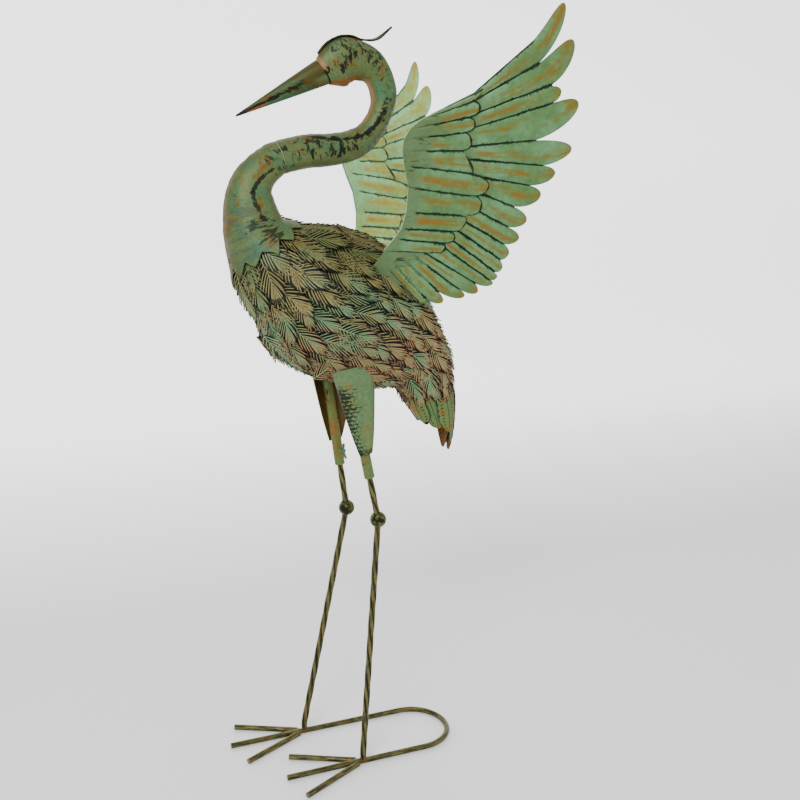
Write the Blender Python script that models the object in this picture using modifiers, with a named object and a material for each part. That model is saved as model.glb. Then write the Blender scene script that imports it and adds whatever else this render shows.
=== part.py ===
# Garden heron of cut and shaped sheet metal, on two rod legs and a rod hoop.
# Metres, +Z up. The bird faces -X, so its left side is -Y.
# The origin is on the ground, under the middle of the whole statue.

import math
import random

import bmesh
import bpy
from mathutils import Vector

# The free outlines are drawn in millimetres, for a bird of the drawn height.
FIGURE_HEIGHT = 1.017
DRAWN_HEIGHT = 1017.0

# Stock: rods, tubes and sheet.
BASE_ROD = 0.008
LEG_ROD = 0.0095
KNEE_BALL = 0.023
KNEE_BORE_DEPTH = 0.004
SOCKET_WALL = 0.0022
SHEET = 0.0012
NECK_WALL = 0.0015
FIT = 0.0003

# Stance on the ground. The left foot is a step behind the right one.
FOOT_HALF_SPREAD = 0.054
STEP_LENGTH = 0.0576
MIDDLE_TOE = 0.113
SIDE_TOE = 0.109
TOE_SPLAY = math.radians(26.6)
HOOP_REACH = 0.127
HOOP_FACETS = 14

# Legs: places of hip, socket mouth and knee as drawn (x, z), and their distances from the mid-plane.
HIP_HALF_SPREAD = 0.036
KNEE_HALF_SPREAD = 0.034
LEFT_HIP = (19, 566)
LEFT_SOCKET_MOUTH = (48, 419)
LEFT_KNEE = (61, 356)
RIGHT_HIP = (10, 556)
RIGHT_SOCKET_MOUTH = (28, 423)
RIGHT_KNEE = (37, 356)
SOCKET_SINK = 0.016
ROD_IN_SOCKET = 0.045

# Thigh sheets round the outside of the sockets.
THIGH_TOP_REACH = 0.030
THIGH_TOP_DEPTH = 0.015
THIGH_REAR = 0.009
THIGH_TOP_WRAP = math.radians(105)
THIGH_FOOT_WRAP = math.radians(50)
THIGH_SINK = 0.010
THIGH_FOOT_FROM_MOUTH = 0.035

# Thumb screws that clamp the leg rods in the sockets.
SCREW_SHANK = 0.0056
SCREW_LENGTH = 0.009
SCREW_WING_SPAN = 0.024
SCREW_WING_HEIGHT = 0.007
SCREW_WING_THICKNESS = 0.0026
SCREW_FROM_MOUTH = 0.022
SCREW_TURN = math.radians(16)

# The bird's line from the beak seam to the rump, with half the depth and half the width there.
SPINE = [
    (0, 955, 16.5, 12),
    (14, 964, 24.5, 18),
    (31, 972, 28, 20),
    (49, 972.5, 25, 19),
    (66, 966, 22, 18),
    (78, 952, 19, 17),
    (84, 931, 18, 17),
    (80, 910, 16, 16),
    (69, 889, 16, 16),
    (53, 873, 18, 17),
    (30, 863, 19.5, 19),
    (4, 858.5, 20.5, 20),
    (-24, 856, 21, 20.5),
    (-58, 848, 21, 20.5),
    (-71, 841, 22, 21),
    (-86, 828, 24, 23),
    (-97, 811, 28, 26),
    (-100, 791, 33, 31),
    (-98, 771.5, 37, 34),
    (-93, 752.5, 43.5, 39),
    (-81, 733, 56.5, 47),
    (-62.5, 710.5, 74, 57),
    (-37, 691, 89, 68),
    (-7, 666, 105, 76),
    (31, 650, 104, 78),
    (65, 625, 93, 72),
    (102, 601, 77, 62),
    (126, 582, 57, 54),
    (143, 553, 48, 46),
]
# Places on that line, counted in its points.
NECK_JOINT = 13
SPIGOT_END = 13.4
SHIELD_NOTCH = 19.75
SHIELD_TIP = 20.35
BODY_START = 18.8
RUMP = 28
NECK_SIDES = 12
SHIELD_SIDES = 24

# Feathers of the body, in rows of lifted leaves.
LEAF_ROWS = 9
FIRST_LEAF_TIP = 20.9
LEAVES_ROUND = 10
LEAF_LIFT = 0.007
LEAF_JITTER = 0.0015
LEAF_SEED = 11

# Beak and crest.
BEAK_TIP = (-114, 897)
BEAK_SIDES = 10
CREST_TIP = (96, 1017)
CREST_DIP = 8
CREST_WIDTH = 0.013
CREST_THICKNESS = 0.0022

# Tail feathers: their line as drawn, the tip places on it, and the angle of each from the top.
TAIL_LINE = [
    (143, 553, 37, 36),
    (156.5, 515, 35.5, 35),
    (167, 478, 24, 28),
    (173, 434, 11, 18),
]
TAIL_ANGLES = [0, 38, -38, 76, -76, 114, -114, 150, -150]
TAIL_TIPS = [2.95, 2.9, 2.75, 2.3, 2.2, 2.1, 2.0, 1.75, 1.65]
TAIL_ROOT = 0.02
TAIL_FEATHER_WIDTH = 0.031
TAIL_HALF_ARC = math.radians(35)

# Wings. Each lies in one plane, and its distance from the mid-plane grows to the back and upwards.
WING_OFFSET = 99
WING_BACK_FLARE = 0.283
WING_UP_FLARE = 0.364
WING_LEVEL = 850
WING_CAMBER = 0.0012
COVERT_CAMBER = 0.0006
COVERT_STEP = 0.0008
ROOT_STEP = 0.0003
# Tips of the flight feathers from the top one down, and the bottoms of the gaps between them.
FLIGHT_TIPS = [
    (221, 1013), (239, 976), (235, 925), (261, 910), (265, 856), (252, 828), (240, 802),
    (229, 768), (224, 746), (215, 728), (210, 710), (205, 698), (202, 687), (184, 675),
    (168, 670), (141, 662), (115, 661),
]
FLIGHT_GAPS = [
    (206, 950), (227, 928), (231, 907), (220, 865), (235, 836), (224, 812), (209, 786), (206, 761),
    (205, 739), (206, 718), (202, 702), (197, 691), (180, 686), (158, 680), (133, 676), (118, 667),
]
# Where the grooves between the flight feathers leave the coverts: groove number and place.
FLIGHT_GROOVES = [
    (0, 141, 914), (1, 152, 911), (4, 144, 849), (5, 149, 835), (6, 174, 811), (7, 177, 793),
    (9, 153, 760), (12, 132, 730), (13, 100, 725), (16, 64, 713), (17, 60, 703),
]
COVERT_TIPS = [
    (147, 923), (148, 902), (145, 884), (144, 866), (146, 841), (174, 809), (170, 786),
    (152, 763), (143, 747), (133, 732),
]
COVERT_GAP = 9
GAP_HALF_WIDTH = 0.8
# Outline of a feather's free end: share of the way to the tip, and half width in shares.
FLIGHT_TIP_SHAPE = [(0.35, 0.98), (0.78, 0.62)]
COVERT_TIP_SHAPE = [(0.6, 0.75)]
# Front edge of the wing from the root up, where the coverts start, and the ends of their outer edges.
WING_FRONT = [
    (57, 731), (70, 750), (77, 767), (78, 802), (68, 836), (64, 855), (66, 871), (78, 885), (97, 896),
]
WING_HEEL = (109, 663)
WING_PEAK = (194, 973)
COVERT_PEAK = (141, 919)
COVERT_HEEL = (127, 727)
# The root plate with its tongue, and what the body leaves free for them.
TONGUE = [(31, 700), (68, 667)]
ROOT_PLATE = [(72, 752), (47, 712), (83, 687), (108, 666), (120, 690), (105, 740)]
TONGUE_SLOT = [(74, 758), (45, 714), (30, 700), (68, 666), (115, 657), (162, 702), (151, 763)]
WING_CLEARANCE = [(75, 756), (49, 714), (84, 687), (112, 665), (160, 700), (150, 761)]

# Materials: colour, roughness and metallic value.
VERDIGRIS = ((0.16, 0.30, 0.16, 1), 0.62, 0.45)
MOSS_GOLD = ((0.22, 0.24, 0.09, 1), 0.60, 0.45)
DARK_BRONZE = ((0.035, 0.04, 0.02, 1), 0.55, 0.55)
ROD_BRONZE = ((0.17, 0.15, 0.06, 1), 0.50, 0.60)
BEAK_OCHRE = ((0.26, 0.24, 0.10, 1), 0.55, 0.45)


def drawn(length):
    # A drawn length, in metres.
    return length * FIGURE_HEIGHT / DRAWN_HEIGHT


def rod_flat():
    # Distance from a base rod's axis to the middle of a facet of its tube.
    return BASE_ROD / 2 * math.cos(math.pi / 8)


def place(point, y=0.0):
    # A drawn (x, z) place, in metres. Drawn heights start at the axis of the base rod.
    return Vector((drawn(point[0]), y, rod_flat() + drawn(point[1])))


def between(a, b, share):
    return a + (b - a) * share


def along(points, u):
    # Smooth curve through rows of numbers: the row at u and its slope.
    last = len(points) - 1
    i = min(max(int(math.floor(u)), 0), last - 1)
    t = u - i
    p1 = points[i]
    p2 = points[i + 1]
    p0 = points[i - 1] if i > 0 else [2 * a - b for a, b in zip(p1, p2)]
    p3 = points[i + 2] if i + 2 <= last else [2 * b - a for a, b in zip(p1, p2)]
    row = []
    slope = []
    for a, b, c, d in zip(p0, p1, p2, p3):
        k1 = (c - a) / 2
        k2 = a - 2.5 * b + 2 * c - d / 2
        k3 = (d - a) / 2 + 1.5 * (b - c)
        row.append(b + t * (k1 + t * (k2 + t * k3)))
        slope.append(k1 + t * (2 * k2 + 3 * t * k3))
    return row, slope


def section(points, u):
    # Centre, direction of travel, back direction, half depth and half width at u.
    row, slope = along(points, u)
    travel = Vector((slope[0], 0, slope[1])).normalized()
    back = Vector((-travel.z, 0, travel.x))
    return place(row), travel, back, drawn(row[2]), drawn(row[3])


def round_point(points, u, angle, inset=0.0):
    # Point on the surface round the line, at an angle from the back.
    centre, travel, back, depth, width = section(points, u)
    return (centre + back * (depth - inset) * math.cos(angle)
            + Vector((0, (width - inset) * math.sin(angle), 0)))


def ring(points, u, sides, inset=0.0):
    return [round_point(points, u, math.tau * j / sides, inset) for j in range(sides)]


def flat_sided_ring(points, u, sides, inset):
    # Ring with points halfway along the chords of one with half as many sides.
    coarse = ring(points, u, sides // 2, inset)
    full = []
    for j, point in enumerate(coarse):
        full.append(point)
        full.append(between(point, coarse[(j + 1) % len(coarse)], 0.5))
    return full


def grid_mesh(name, rows, closed, caps):
    # Surface over rows of points, closed round each row or open, with or without end caps.
    bm = bmesh.new()
    verts = [[bm.verts.new(p) for p in row] for row in rows]
    count = len(rows[0])
    for lower, upper in zip(verts, verts[1:]):
        for j in range(count if closed else count - 1):
            n = (j + 1) % count
            bm.faces.new((lower[j], upper[j], upper[n], lower[n]))
    if caps:
        bm.faces.new(verts[0])
        bm.faces.new(reversed(verts[-1]))
    mesh = bpy.data.meshes.new(name)
    bm.to_mesh(mesh)
    bm.free()
    return mesh


def sheet_mesh(name, faces, square, thickness):
    # Closed sheet over faces given by their corner points, as thick on both sides of them.
    bm = bmesh.new()
    for corners in faces:
        bm.faces.new([bm.verts.new(p - square * thickness / 2) for p in corners])
    bmesh.ops.remove_doubles(bm, verts=bm.verts, dist=0.00005)
    grown = bmesh.ops.extrude_face_region(bm, geom=bm.faces[:], use_keep_orig=True)
    raised = [item for item in grown["geom"] if isinstance(item, bmesh.types.BMVert)]
    bmesh.ops.translate(bm, vec=square * thickness, verts=raised)
    bmesh.ops.recalc_face_normals(bm, faces=bm.faces)
    mesh = bpy.data.meshes.new(name)
    bm.to_mesh(mesh)
    bm.free()
    return mesh


def finish_material(name, look):
    colour, roughness, metallic = look
    material = bpy.data.materials.new(name)
    material.use_nodes = True
    shader = material.node_tree.nodes["Principled BSDF"]
    shader.inputs["Base Color"].default_value = colour
    shader.inputs["Roughness"].default_value = roughness
    shader.inputs["Metallic"].default_value = metallic
    return material


def add_piece(name, data, look):
    piece = bpy.data.objects.new(name, data)
    statue.objects.link(piece)
    piece.parent = stance
    data.materials.append(finish_material(name + "_finish", look))
    return piece


def add_cutter(name, mesh):
    cutter = bpy.data.objects.new(name, mesh)
    cutters.objects.link(cutter)
    cutter.parent = stance
    cutter.hide_render = True
    cutter.display_type = "WIRE"
    return cutter


def solidify(piece, thickness, offset=0.0):
    wall = piece.modifiers.new("sheet", "SOLIDIFY")
    wall.thickness = thickness
    wall.offset = offset
    wall.use_even_offset = True
    return wall


def combine(piece, other, operation):
    tool = piece.modifiers.new(other.name, "BOOLEAN")
    tool.operation = operation
    tool.object = other
    tool.solver = "EXACT"
    return tool


def add_rod(name, points, radius, look, tilt=0.0):
    curve = bpy.data.curves.new(name, "CURVE")
    curve.dimensions = "3D"
    curve.twist_mode = "Z_UP"
    curve.bevel_depth = radius
    curve.bevel_resolution = 2
    curve.use_fill_caps = True
    spline = curve.splines.new("POLY")
    spline.points.add(len(points) - 1)
    for knot, point in zip(spline.points, points):
        knot.co = (*point, 1)
        knot.tilt = tilt
    return add_piece(name, curve, look)


def cylinder_mesh(name, start, end, radius, sides, capped=True):
    # Cylinder between two points.
    bm = bmesh.new()
    axis = end - start
    bmesh.ops.create_cone(bm, cap_ends=capped, segments=sides, radius1=radius, radius2=radius,
                          depth=axis.length)
    turn = Vector((0, 0, 1)).rotation_difference(axis).to_matrix().to_4x4()
    turn.translation = (start + end) / 2
    bmesh.ops.transform(bm, matrix=turn, verts=bm.verts)
    mesh = bpy.data.meshes.new(name)
    bm.to_mesh(mesh)
    bm.free()
    return mesh


def foot_place(side):
    # Foot centre on the ground; side is -1 for the left foot and 1 for the right one.
    return Vector((-side * STEP_LENGTH / 2, side * FOOT_HALF_SPREAD, 0))


def make_base():
    # One rod makes both middle toes, the arms and the round back of the hoop.
    height = rod_flat()
    left = foot_place(-1)
    right = foot_place(1)
    path = [Vector((left.x - MIDDLE_TOE, left.y, height)), Vector((left.x, left.y, height))]
    for i in range(HOOP_FACETS + 1):
        angle = math.pi * i / HOOP_FACETS - math.pi / 2
        path.append(Vector((HOOP_REACH + FOOT_HALF_SPREAD * math.cos(angle),
                            FOOT_HALF_SPREAD * math.sin(angle), height)))
    path.append(Vector((right.x, right.y, height)))
    path.append(Vector((right.x - MIDDLE_TOE, right.y, height)))
    add_rod("base_hoop", path, BASE_ROD / 2, ROD_BRONZE, math.pi / 8)


def make_toe(name, side, swing):
    # A toe with its root cut to lie along the middle toe; swing is -1 or 1 across the foot.
    foot = foot_place(side)
    heading = Vector((-math.cos(TOE_SPLAY), swing * math.sin(TOE_SPLAY), 0))
    lift = Vector((0, 0, rod_flat()))
    mesh = cylinder_mesh(name, foot + lift, foot + heading * SIDE_TOE + lift, BASE_ROD / 2, 8)
    root_y = foot.y + swing * (BASE_ROD / 2 + FIT)
    across = Vector((-heading.y, heading.x, 0))
    for vert in mesh.vertices:
        # The eight sides turn by half a side, so that a flat one faces the ground.
        from_axis = vert.co - foot - lift
        reach = from_axis.dot(heading)
        angle = math.atan2(from_axis.z, from_axis.dot(across))
        angle = math.floor(angle / (math.pi / 4) + 0.001) * math.pi / 4 + math.pi / 8
        offset = across * math.cos(angle) + Vector((0, 0, math.sin(angle)))
        vert.co = foot + lift + heading * reach + offset * BASE_ROD / 2
        if reach < SIDE_TOE / 2:
            vert.co += heading * ((root_y - vert.co.y) / heading.y)
    add_piece(name, mesh, ROD_BRONZE)


def leg_points(side):
    # Hip, socket mouth, knee and ankle of one leg.
    hip, mouth, knee = (LEFT_HIP, LEFT_SOCKET_MOUTH, LEFT_KNEE)
    if side > 0:
        hip, mouth, knee = (RIGHT_HIP, RIGHT_SOCKET_MOUTH, RIGHT_KNEE)
    knee = place(knee, side * KNEE_HALF_SPREAD)
    hip = place(hip, side * HIP_HALF_SPREAD)
    share = (hip.z - place(mouth).z) / (hip.z - knee.z)
    return hip, between(hip, knee, share), knee, foot_place(side)


def socket_radius():
    return LEG_ROD / 2 + FIT + SOCKET_WALL


def make_leg(side, word):
    hip, mouth, knee, foot = leg_points(side)
    rise = (hip - knee).normalized()
    bore_floor = KNEE_BALL / 2 - KNEE_BORE_DEPTH
    top = mouth + rise * ROD_IN_SOCKET
    add_rod("upper_leg_" + word, [knee + rise * (bore_floor + FIT), top], LEG_ROD / 2, ROD_BRONZE)

    ankle = foot + Vector((0, 0, rod_flat() * 2 + FIT))
    bend = ankle + Vector((0, 0, LEG_ROD))
    fall = (bend - knee).normalized()
    add_rod("lower_leg_" + word, [knee + fall * (bore_floor + FIT), bend, ankle], LEG_ROD / 2, ROD_BRONZE)

    bm = bmesh.new()
    bmesh.ops.create_uvsphere(bm, u_segments=12, v_segments=8, radius=KNEE_BALL / 2)
    bmesh.ops.translate(bm, verts=bm.verts, vec=knee)
    mesh = bpy.data.meshes.new("knee_ball_" + word)
    bm.to_mesh(mesh)
    bm.free()
    ball = add_piece("knee_ball_" + word, mesh, ROD_BRONZE)
    for heading, label in ((rise, "upper"), (fall, "lower")):
        bore = cylinder_mesh("bore", knee + heading * bore_floor, knee + heading * KNEE_BALL,
                             LEG_ROD / 2 + FIT, 10)
        combine(ball, add_cutter("knee_bore_" + label + "_" + word, bore), "DIFFERENCE")

    crown = hip + rise * SOCKET_SINK
    tube = cylinder_mesh("leg_socket_" + word, mouth, crown, socket_radius(), 12, False)
    solidify(add_piece("leg_socket_" + word, tube, VERDIGRIS), SOCKET_WALL, -1)
    hole = cylinder_mesh("socket_hole", mouth, crown + rise * FIT, socket_radius() + FIT, 12)
    combine(body, add_cutter("socket_hole_" + word, hole), "DIFFERENCE")


def thigh_surface(name, side, spare):
    # Sheet wrapped round the outer side of a socket, wider to the top.
    hip, mouth, knee, foot = leg_points(side)
    rise = (hip - knee).normalized()
    low = mouth + rise * (THIGH_FOOT_FROM_MOUTH - spare)
    high = hip + rise * (THIGH_SINK + spare)
    front = Vector((-1, 0, 0))
    front = (front - rise * front.dot(rise)).normalized()
    outward = Vector((0, side, 0))
    near = socket_radius() + FIT + SHEET / 2
    rows = []
    for i in range(5):
        share = i / 4
        wide = share ** 0.8
        reach = between(near, THIGH_TOP_REACH, wide)
        deep = between(near, THIGH_TOP_DEPTH, wide)
        wrap = between(THIGH_FOOT_WRAP, THIGH_TOP_WRAP, wide)
        wrap += spare / reach
        row = []
        for j in range(8):
            angle = wrap * (j / 3.5 - 1)
            row.append(between(low, high, share) + front * (reach * math.sin(angle) - THIGH_REAR * wide)
                       + outward * (near - deep + deep * math.cos(angle) + (deep - near) * wide))
        rows.append(row)
    return grid_mesh(name, rows, False, False)


def make_thigh(side, word):
    solidify(add_piece("thigh_" + word, thigh_surface("thigh", side, 0), VERDIGRIS), SHEET)
    slot = add_cutter("thigh_slot_" + word, thigh_surface("thigh_slot", side, 2 * FIT))
    solidify(slot, SHEET + 4 * FIT)
    combine(body, slot, "DIFFERENCE")


def make_thumb_screw(side, word):
    hip, mouth, knee, foot = leg_points(side)
    rise = (hip - knee).normalized()
    inward = Vector((math.sin(SCREW_TURN), -side * math.cos(SCREW_TURN), 0))
    inward = (inward - rise * inward.dot(rise)).normalized()
    seat = mouth + rise * SCREW_FROM_MOUTH + inward * (socket_radius() + FIT)
    shank = cylinder_mesh("thumb_screw", seat, seat + inward * SCREW_LENGTH, SCREW_SHANK / 2, 8)
    screw = add_piece("thumb_screw_" + word, shank, VERDIGRIS)
    half_span = SCREW_WING_SPAN / 2
    outline = [(-1, 1), (-0.75, 1.15), (-0.3, 0.55), (0.3, 0.55), (0.75, 1.15), (1, 1), (0.8, 0.5),
               (0.3, 0), (-0.3, 0), (-0.8, 0.5)]
    base = seat + inward * (SCREW_LENGTH - SCREW_WING_HEIGHT / 2)
    side_step = rise.cross(inward).normalized() * SCREW_WING_THICKNESS / 2
    rows = []
    for step in (-1, 1):
        rows.append([base + rise * a * half_span + inward * b * SCREW_WING_HEIGHT + side_step * step
                     for a, b in outline])
    wings = grid_mesh("screw_wings", rows, True, True)
    bm = bmesh.new()
    bm.from_mesh(wings)
    bmesh.ops.recalc_face_normals(bm, faces=bm.faces)
    bm.to_mesh(wings)
    bm.free()
    combine(screw, add_cutter("screw_wings_" + word, wings), "UNION")


def make_head_neck():
    # Head and upper neck, with a spigot that sits in the lower neck.
    rows = [ring(SPINE, i / 2, NECK_SIDES) for i in range(2 * NECK_JOINT + 1)]
    inset = NECK_WALL + 4 * FIT
    rows.append(ring(SPINE, NECK_JOINT, NECK_SIDES, inset))
    rows.append(ring(SPINE, SPIGOT_END, NECK_SIDES, inset))
    add_piece("head_neck", grid_mesh("head_neck", rows, True, True), VERDIGRIS)


def make_beak():
    centre, travel, back, depth, width = section(SPINE, 0)
    tip = place(BEAK_TIP)
    seam = centre - travel * FIT
    rows = []
    for i, share in enumerate((0, 0.15, 0.35, 0.6, 0.85, 1)):
        slim = 1 - share ** 1.05 * 0.93
        middle = between(seam, tip, share)
        rows.append([middle + back * depth * slim * math.cos(math.tau * j / BEAK_SIDES)
                     + Vector((0, width * slim * math.sin(math.tau * j / BEAK_SIDES), 0))
                     for j in range(BEAK_SIDES)])
    mesh = grid_mesh("beak", rows, True, True)
    mesh.flip_normals()
    add_piece("beak", mesh, BEAK_OCHRE)


def make_crest():
    # Strip that lies on the crown and stands off behind it in a point.
    line = [round_point(SPINE, u / 2, 0, -FIT - CREST_THICKNESS / 2) for u in range(1, 7)]
    tip = place(CREST_TIP)
    leave = line[-1]
    line.append(between(leave, tip, 0.5) - Vector((0, 0, drawn(CREST_DIP))))
    line.append(tip)
    widths = (0.35, 0.7, 0.9, 1, 1, 0.85, 0.5, 0.12)
    rows = []
    for i, (point, share) in enumerate(zip(line, widths)):
        ahead = line[min(i + 1, len(line) - 1)]
        behind = line[max(i - 1, 0)]
        run = (ahead - behind).normalized()
        rise = Vector((-run.z, 0, run.x))
        half = CREST_THICKNESS / 2
        side = Vector((0, CREST_WIDTH / 2 * share, 0))
        rows.append([point - rise * half - side, point - rise * half + side,
                     point + rise * half * 0.4 + side, point + rise * half,
                     point + rise * half * 0.4 - side])
    mesh = grid_mesh("crest", rows, True, True)
    mesh.flip_normals()
    add_piece("crest", mesh, DARK_BRONZE)


def make_lower_neck():
    # Open tube from the neck joint to the breast, with a torn lower edge.
    count = 8
    stations = [between(NECK_JOINT, SHIELD_NOTCH - 0.15, (i / count) ** 0.75) for i in range(count + 1)]
    rows = [ring(SPINE, u, SHIELD_SIDES) for u in stations]
    travel = section(SPINE, NECK_JOINT)[1]
    rows[0] = [p + travel * 2 * FIT for p in rows[0]]
    edge = []
    for j in range(SHIELD_SIDES):
        u = SHIELD_TIP - 0.12 * (j % 4) / 4 if j % 2 == 0 else SHIELD_NOTCH
        edge.append(round_point(SPINE, u, math.tau * j / SHIELD_SIDES))
    rows.append(edge)
    piece = add_piece("lower_neck", grid_mesh("lower_neck", rows, True, False), VERDIGRIS)
    solidify(piece, NECK_WALL, -1)


def make_body():
    # The body's shell of feathers: row after row of leaves that lift to their tips.
    chance = random.Random(LEAF_SEED)
    columns = LEAVES_ROUND * 4
    stub_inset = NECK_WALL + 10 * FIT
    rows = [flat_sided_ring(SPINE, between(BODY_START, SHIELD_TIP, share), columns, stub_inset)
            for share in (0, 0.3, 0.6, 0.85)]
    spacing = (RUMP - FIRST_LEAF_TIP) / (LEAF_ROWS - 1)
    end_u = RUMP - 0.3
    for row in range(LEAF_ROWS):
        tip_u = FIRST_LEAF_TIP + spacing * row
        lifts = [chance.uniform(-1, 1) * LEAF_JITTER for leaf in range(LEAVES_ROUND)]
        shift = 2 if row % 2 else 0
        middle = []
        tips = []
        under = []
        for j in range(columns):
            angle = math.tau * j / columns
            part = (j + shift) % 4
            leaf = ((j + shift) // 4) % LEAVES_ROUND
            to_tip = (-0.30, -0.08, 0.10, -0.08)[part]
            sunk = (0.6, 0.2, 0, 0.2)[part]
            lift = lifts[leaf] if part else 0
            under_u = end_u if row == LEAF_ROWS - 1 else tip_u + to_tip - 0.12
            middle.append(round_point(SPINE, tip_u - spacing * 0.55, angle, LEAF_LIFT * (0.45 + 0.4 * sunk)))
            tips.append(round_point(SPINE, tip_u + to_tip, angle, LEAF_LIFT * sunk - lift))
            under.append(round_point(SPINE, under_u, angle, LEAF_LIFT))
        rows.append(middle)
        rows.append(tips)
        rows.append(under)
    # The rump behind the last row holds the roots of the tail feathers.
    rows.append(ring(SPINE, end_u, columns, 0.019))
    rows.append(ring(TAIL_LINE, 0.6, columns, 0.016))
    return add_piece("body", grid_mesh("body", rows, True, True), MOSS_GOLD)


def make_tail():
    # Two layers of feathers side by side round the tail, rooted behind the last leaves.
    for number, (degrees, tip_u) in enumerate(zip(TAIL_ANGLES, TAIL_TIPS)):
        inset = 0 if number in (0, 3, 4, 7, 8) else SHEET + 4 * FIT
        middle = math.radians(degrees)
        rows = []
        for i in range(6):
            share = i / 5
            u = between(TAIL_ROOT, tip_u, share)
            r = section(TAIL_LINE, u)[3]
            tip_taper = min(1, 1.25 * math.sqrt(max(0, 1 - share) + 0.02))
            half_arc = min(TAIL_FEATHER_WIDTH / 2 / r, TAIL_HALF_ARC) * tip_taper
            row = []
            for j in range(4):
                angle = middle + half_arc * (j / 1.5 - 1)
                row.append(round_point(TAIL_LINE, u, angle, inset))
            rows.append(row)
        name = "tail_feather_" + str(number + 1)
        solidify(add_piece(name, grid_mesh(name, rows, False, False), MOSS_GOLD), SHEET)


def wing_square(side):
    # Direction square to a wing's plane, outwards.
    return Vector((-WING_BACK_FLARE, side, -WING_UP_FLARE)).normalized()


def wing_point(point, side, proud=0.0):
    # A drawn (x, z) place on a wing, raised square to the wing's plane.
    out = WING_OFFSET + WING_BACK_FLARE * point[0] + WING_UP_FLARE * (point[1] - WING_LEVEL)
    return place(point, drawn(out) * side) + wing_square(side) * proud


def groove_start(number):
    # Place where a groove of the flight feathers leaves the coverts.
    for (n0, x0, z0), (n1, x1, z1) in zip(FLIGHT_GROOVES, FLIGHT_GROOVES[1:]):
        if n0 <= number <= n1:
            share = (number - n0) / (n1 - n0)
            return Vector((between(x0, x1, share), between(z0, z1, share)))


def clear_of_gap(point, notch, mouth, tip):
    # Keeps a point of a feather's edge on its own side of the gap beside it.
    gap = (mouth - notch).normalized()
    own_side = Vector((-gap.y, gap.x))
    if own_side.dot(tip - notch) < 0:
        own_side = -own_side
    short = GAP_HALF_WIDTH - (point - notch).dot(own_side)
    return point + own_side * max(short, 0)


def fan_faces(starts, ends, tips, side, camber, tip_shape):
    # Feathers side by side: each has its rib raised, and its grooves sunk between them.
    faces = []
    for i, tip in enumerate(tips):
        edges = []
        for n in (i, i + 1):
            edges.append([starts[n], ends[n]])
        rib = [between(a, b, 0.5) for a, b in zip(*edges)]
        run = (tip - rib[-1]).normalized()
        across = Vector((-run.y, run.x))
        if across.dot(ends[i] - ends[i + 1]) < 0:
            across = -across
        half = abs((ends[i] - ends[i + 1]).dot(across)) / 2
        # The free end swells a little past the gaps, then rounds off to the tip.
        free = max((ends[n] - rib[-1]).dot(run) for n in (i, i + 1))
        length = (tip - rib[-1]).length
        foot = rib[-1]
        for share, breadth in tip_shape:
            middle = foot + run * between(free, length, share)
            rib.append(middle)
            for edge, way, n in ((edges[0], 1, i), (edges[1], -1, i + 1)):
                point = middle + across * half * breadth * way
                beside = i - 1 if n == i else i + 1
                if 0 <= beside < len(tips):
                    point = clear_of_gap(point, ends[n], between(tip, tips[beside], 0.5), tip)
                edge.append(point)
        # The camber starts at the coverts, is full at the gaps and fades out to the tip.
        sinks = [0, camber] + [0] * len(tip_shape)
        bends = [0, camber] + [camber / 2] * len(tip_shape)
        left = [wing_point(p, side, -c) for p, c in zip(edges[0], sinks)]
        right = [wing_point(p, side, -c) for p, c in zip(edges[1], sinks)]
        high = [wing_point(p, side, c) for p, c in zip(rib, bends)]
        for k in range(len(high) - 1):
            faces.append([left[k], left[k + 1], high[k + 1], high[k]])
            faces.append([high[k], high[k + 1], right[k + 1], right[k]])
        point = wing_point(tip, side)
        faces.append([left[-1], point, high[-1]])
        faces.append([high[-1], point, right[-1]])
    return faces


def make_wing(side, word):
    tips = [Vector(p) for p in FLIGHT_TIPS]
    starts = []
    for number in range(len(tips) + 1):
        groove = groove_start(number)
        edge = along(WING_FRONT, (len(WING_FRONT) - 1) * (1 - number / len(tips)))[0]
        starts.append(between(groove, Vector(edge), 0.3))
    ends = [Vector(p) for p in [WING_PEAK] + FLIGHT_GAPS + [WING_HEEL]]
    square = wing_square(side)
    faces = fan_faces(starts, ends, tips, side, WING_CAMBER, FLIGHT_TIP_SHAPE)
    wing = add_piece("wing_" + word, sheet_mesh("flight", faces, square, SHEET), VERDIGRIS)

    covert_tips = [Vector(p) for p in COVERT_TIPS]
    covert_starts = []
    for number in range(len(covert_tips) + 1):
        u = (len(WING_FRONT) - 1) * (1 - number / len(covert_tips))
        covert_starts.append(Vector(along(WING_FRONT, u)[0]))
    covert_ends = [Vector(COVERT_PEAK)]
    for i in range(len(covert_tips) - 1):
        middle = between(covert_tips[i], covert_tips[i + 1], 0.5)
        back = (covert_starts[i + 1] - middle).normalized()
        covert_ends.append(middle + back * COVERT_GAP)
    covert_ends.append(Vector(COVERT_HEEL))
    faces = fan_faces(covert_starts, covert_ends, covert_tips, side, COVERT_CAMBER, COVERT_TIP_SHAPE)
    thick = SHEET + 2 * COVERT_STEP
    combine(wing, add_cutter("coverts_" + word, sheet_mesh("coverts", faces, square, thick)), "UNION")

    thick = SHEET + 2 * ROOT_STEP
    faces = [[wing_point(p, side) for p in ROOT_PLATE[:2] + TONGUE + ROOT_PLATE[2:]]]
    combine(wing, add_cutter("root_" + word, sheet_mesh("root", faces, square, thick)), "UNION")

    # The body has a tight slot for the tongue, and clears the wing above it.
    faces = [[wing_point(p, side) for p in TONGUE_SLOT]]
    slot = sheet_mesh("wing_slot", faces, square, thick + 2 * FIT)
    combine(body, add_cutter("wing_slot_" + word, slot), "DIFFERENCE")
    faces = [[wing_point(p, side) for p in WING_CLEARANCE]]
    thick = SHEET + 2 * WING_CAMBER + 2 * COVERT_STEP + 2 * FIT
    clear = sheet_mesh("wing_clear", faces, square, thick)
    combine(body, add_cutter("wing_clear_" + word, clear), "DIFFERENCE")


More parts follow.
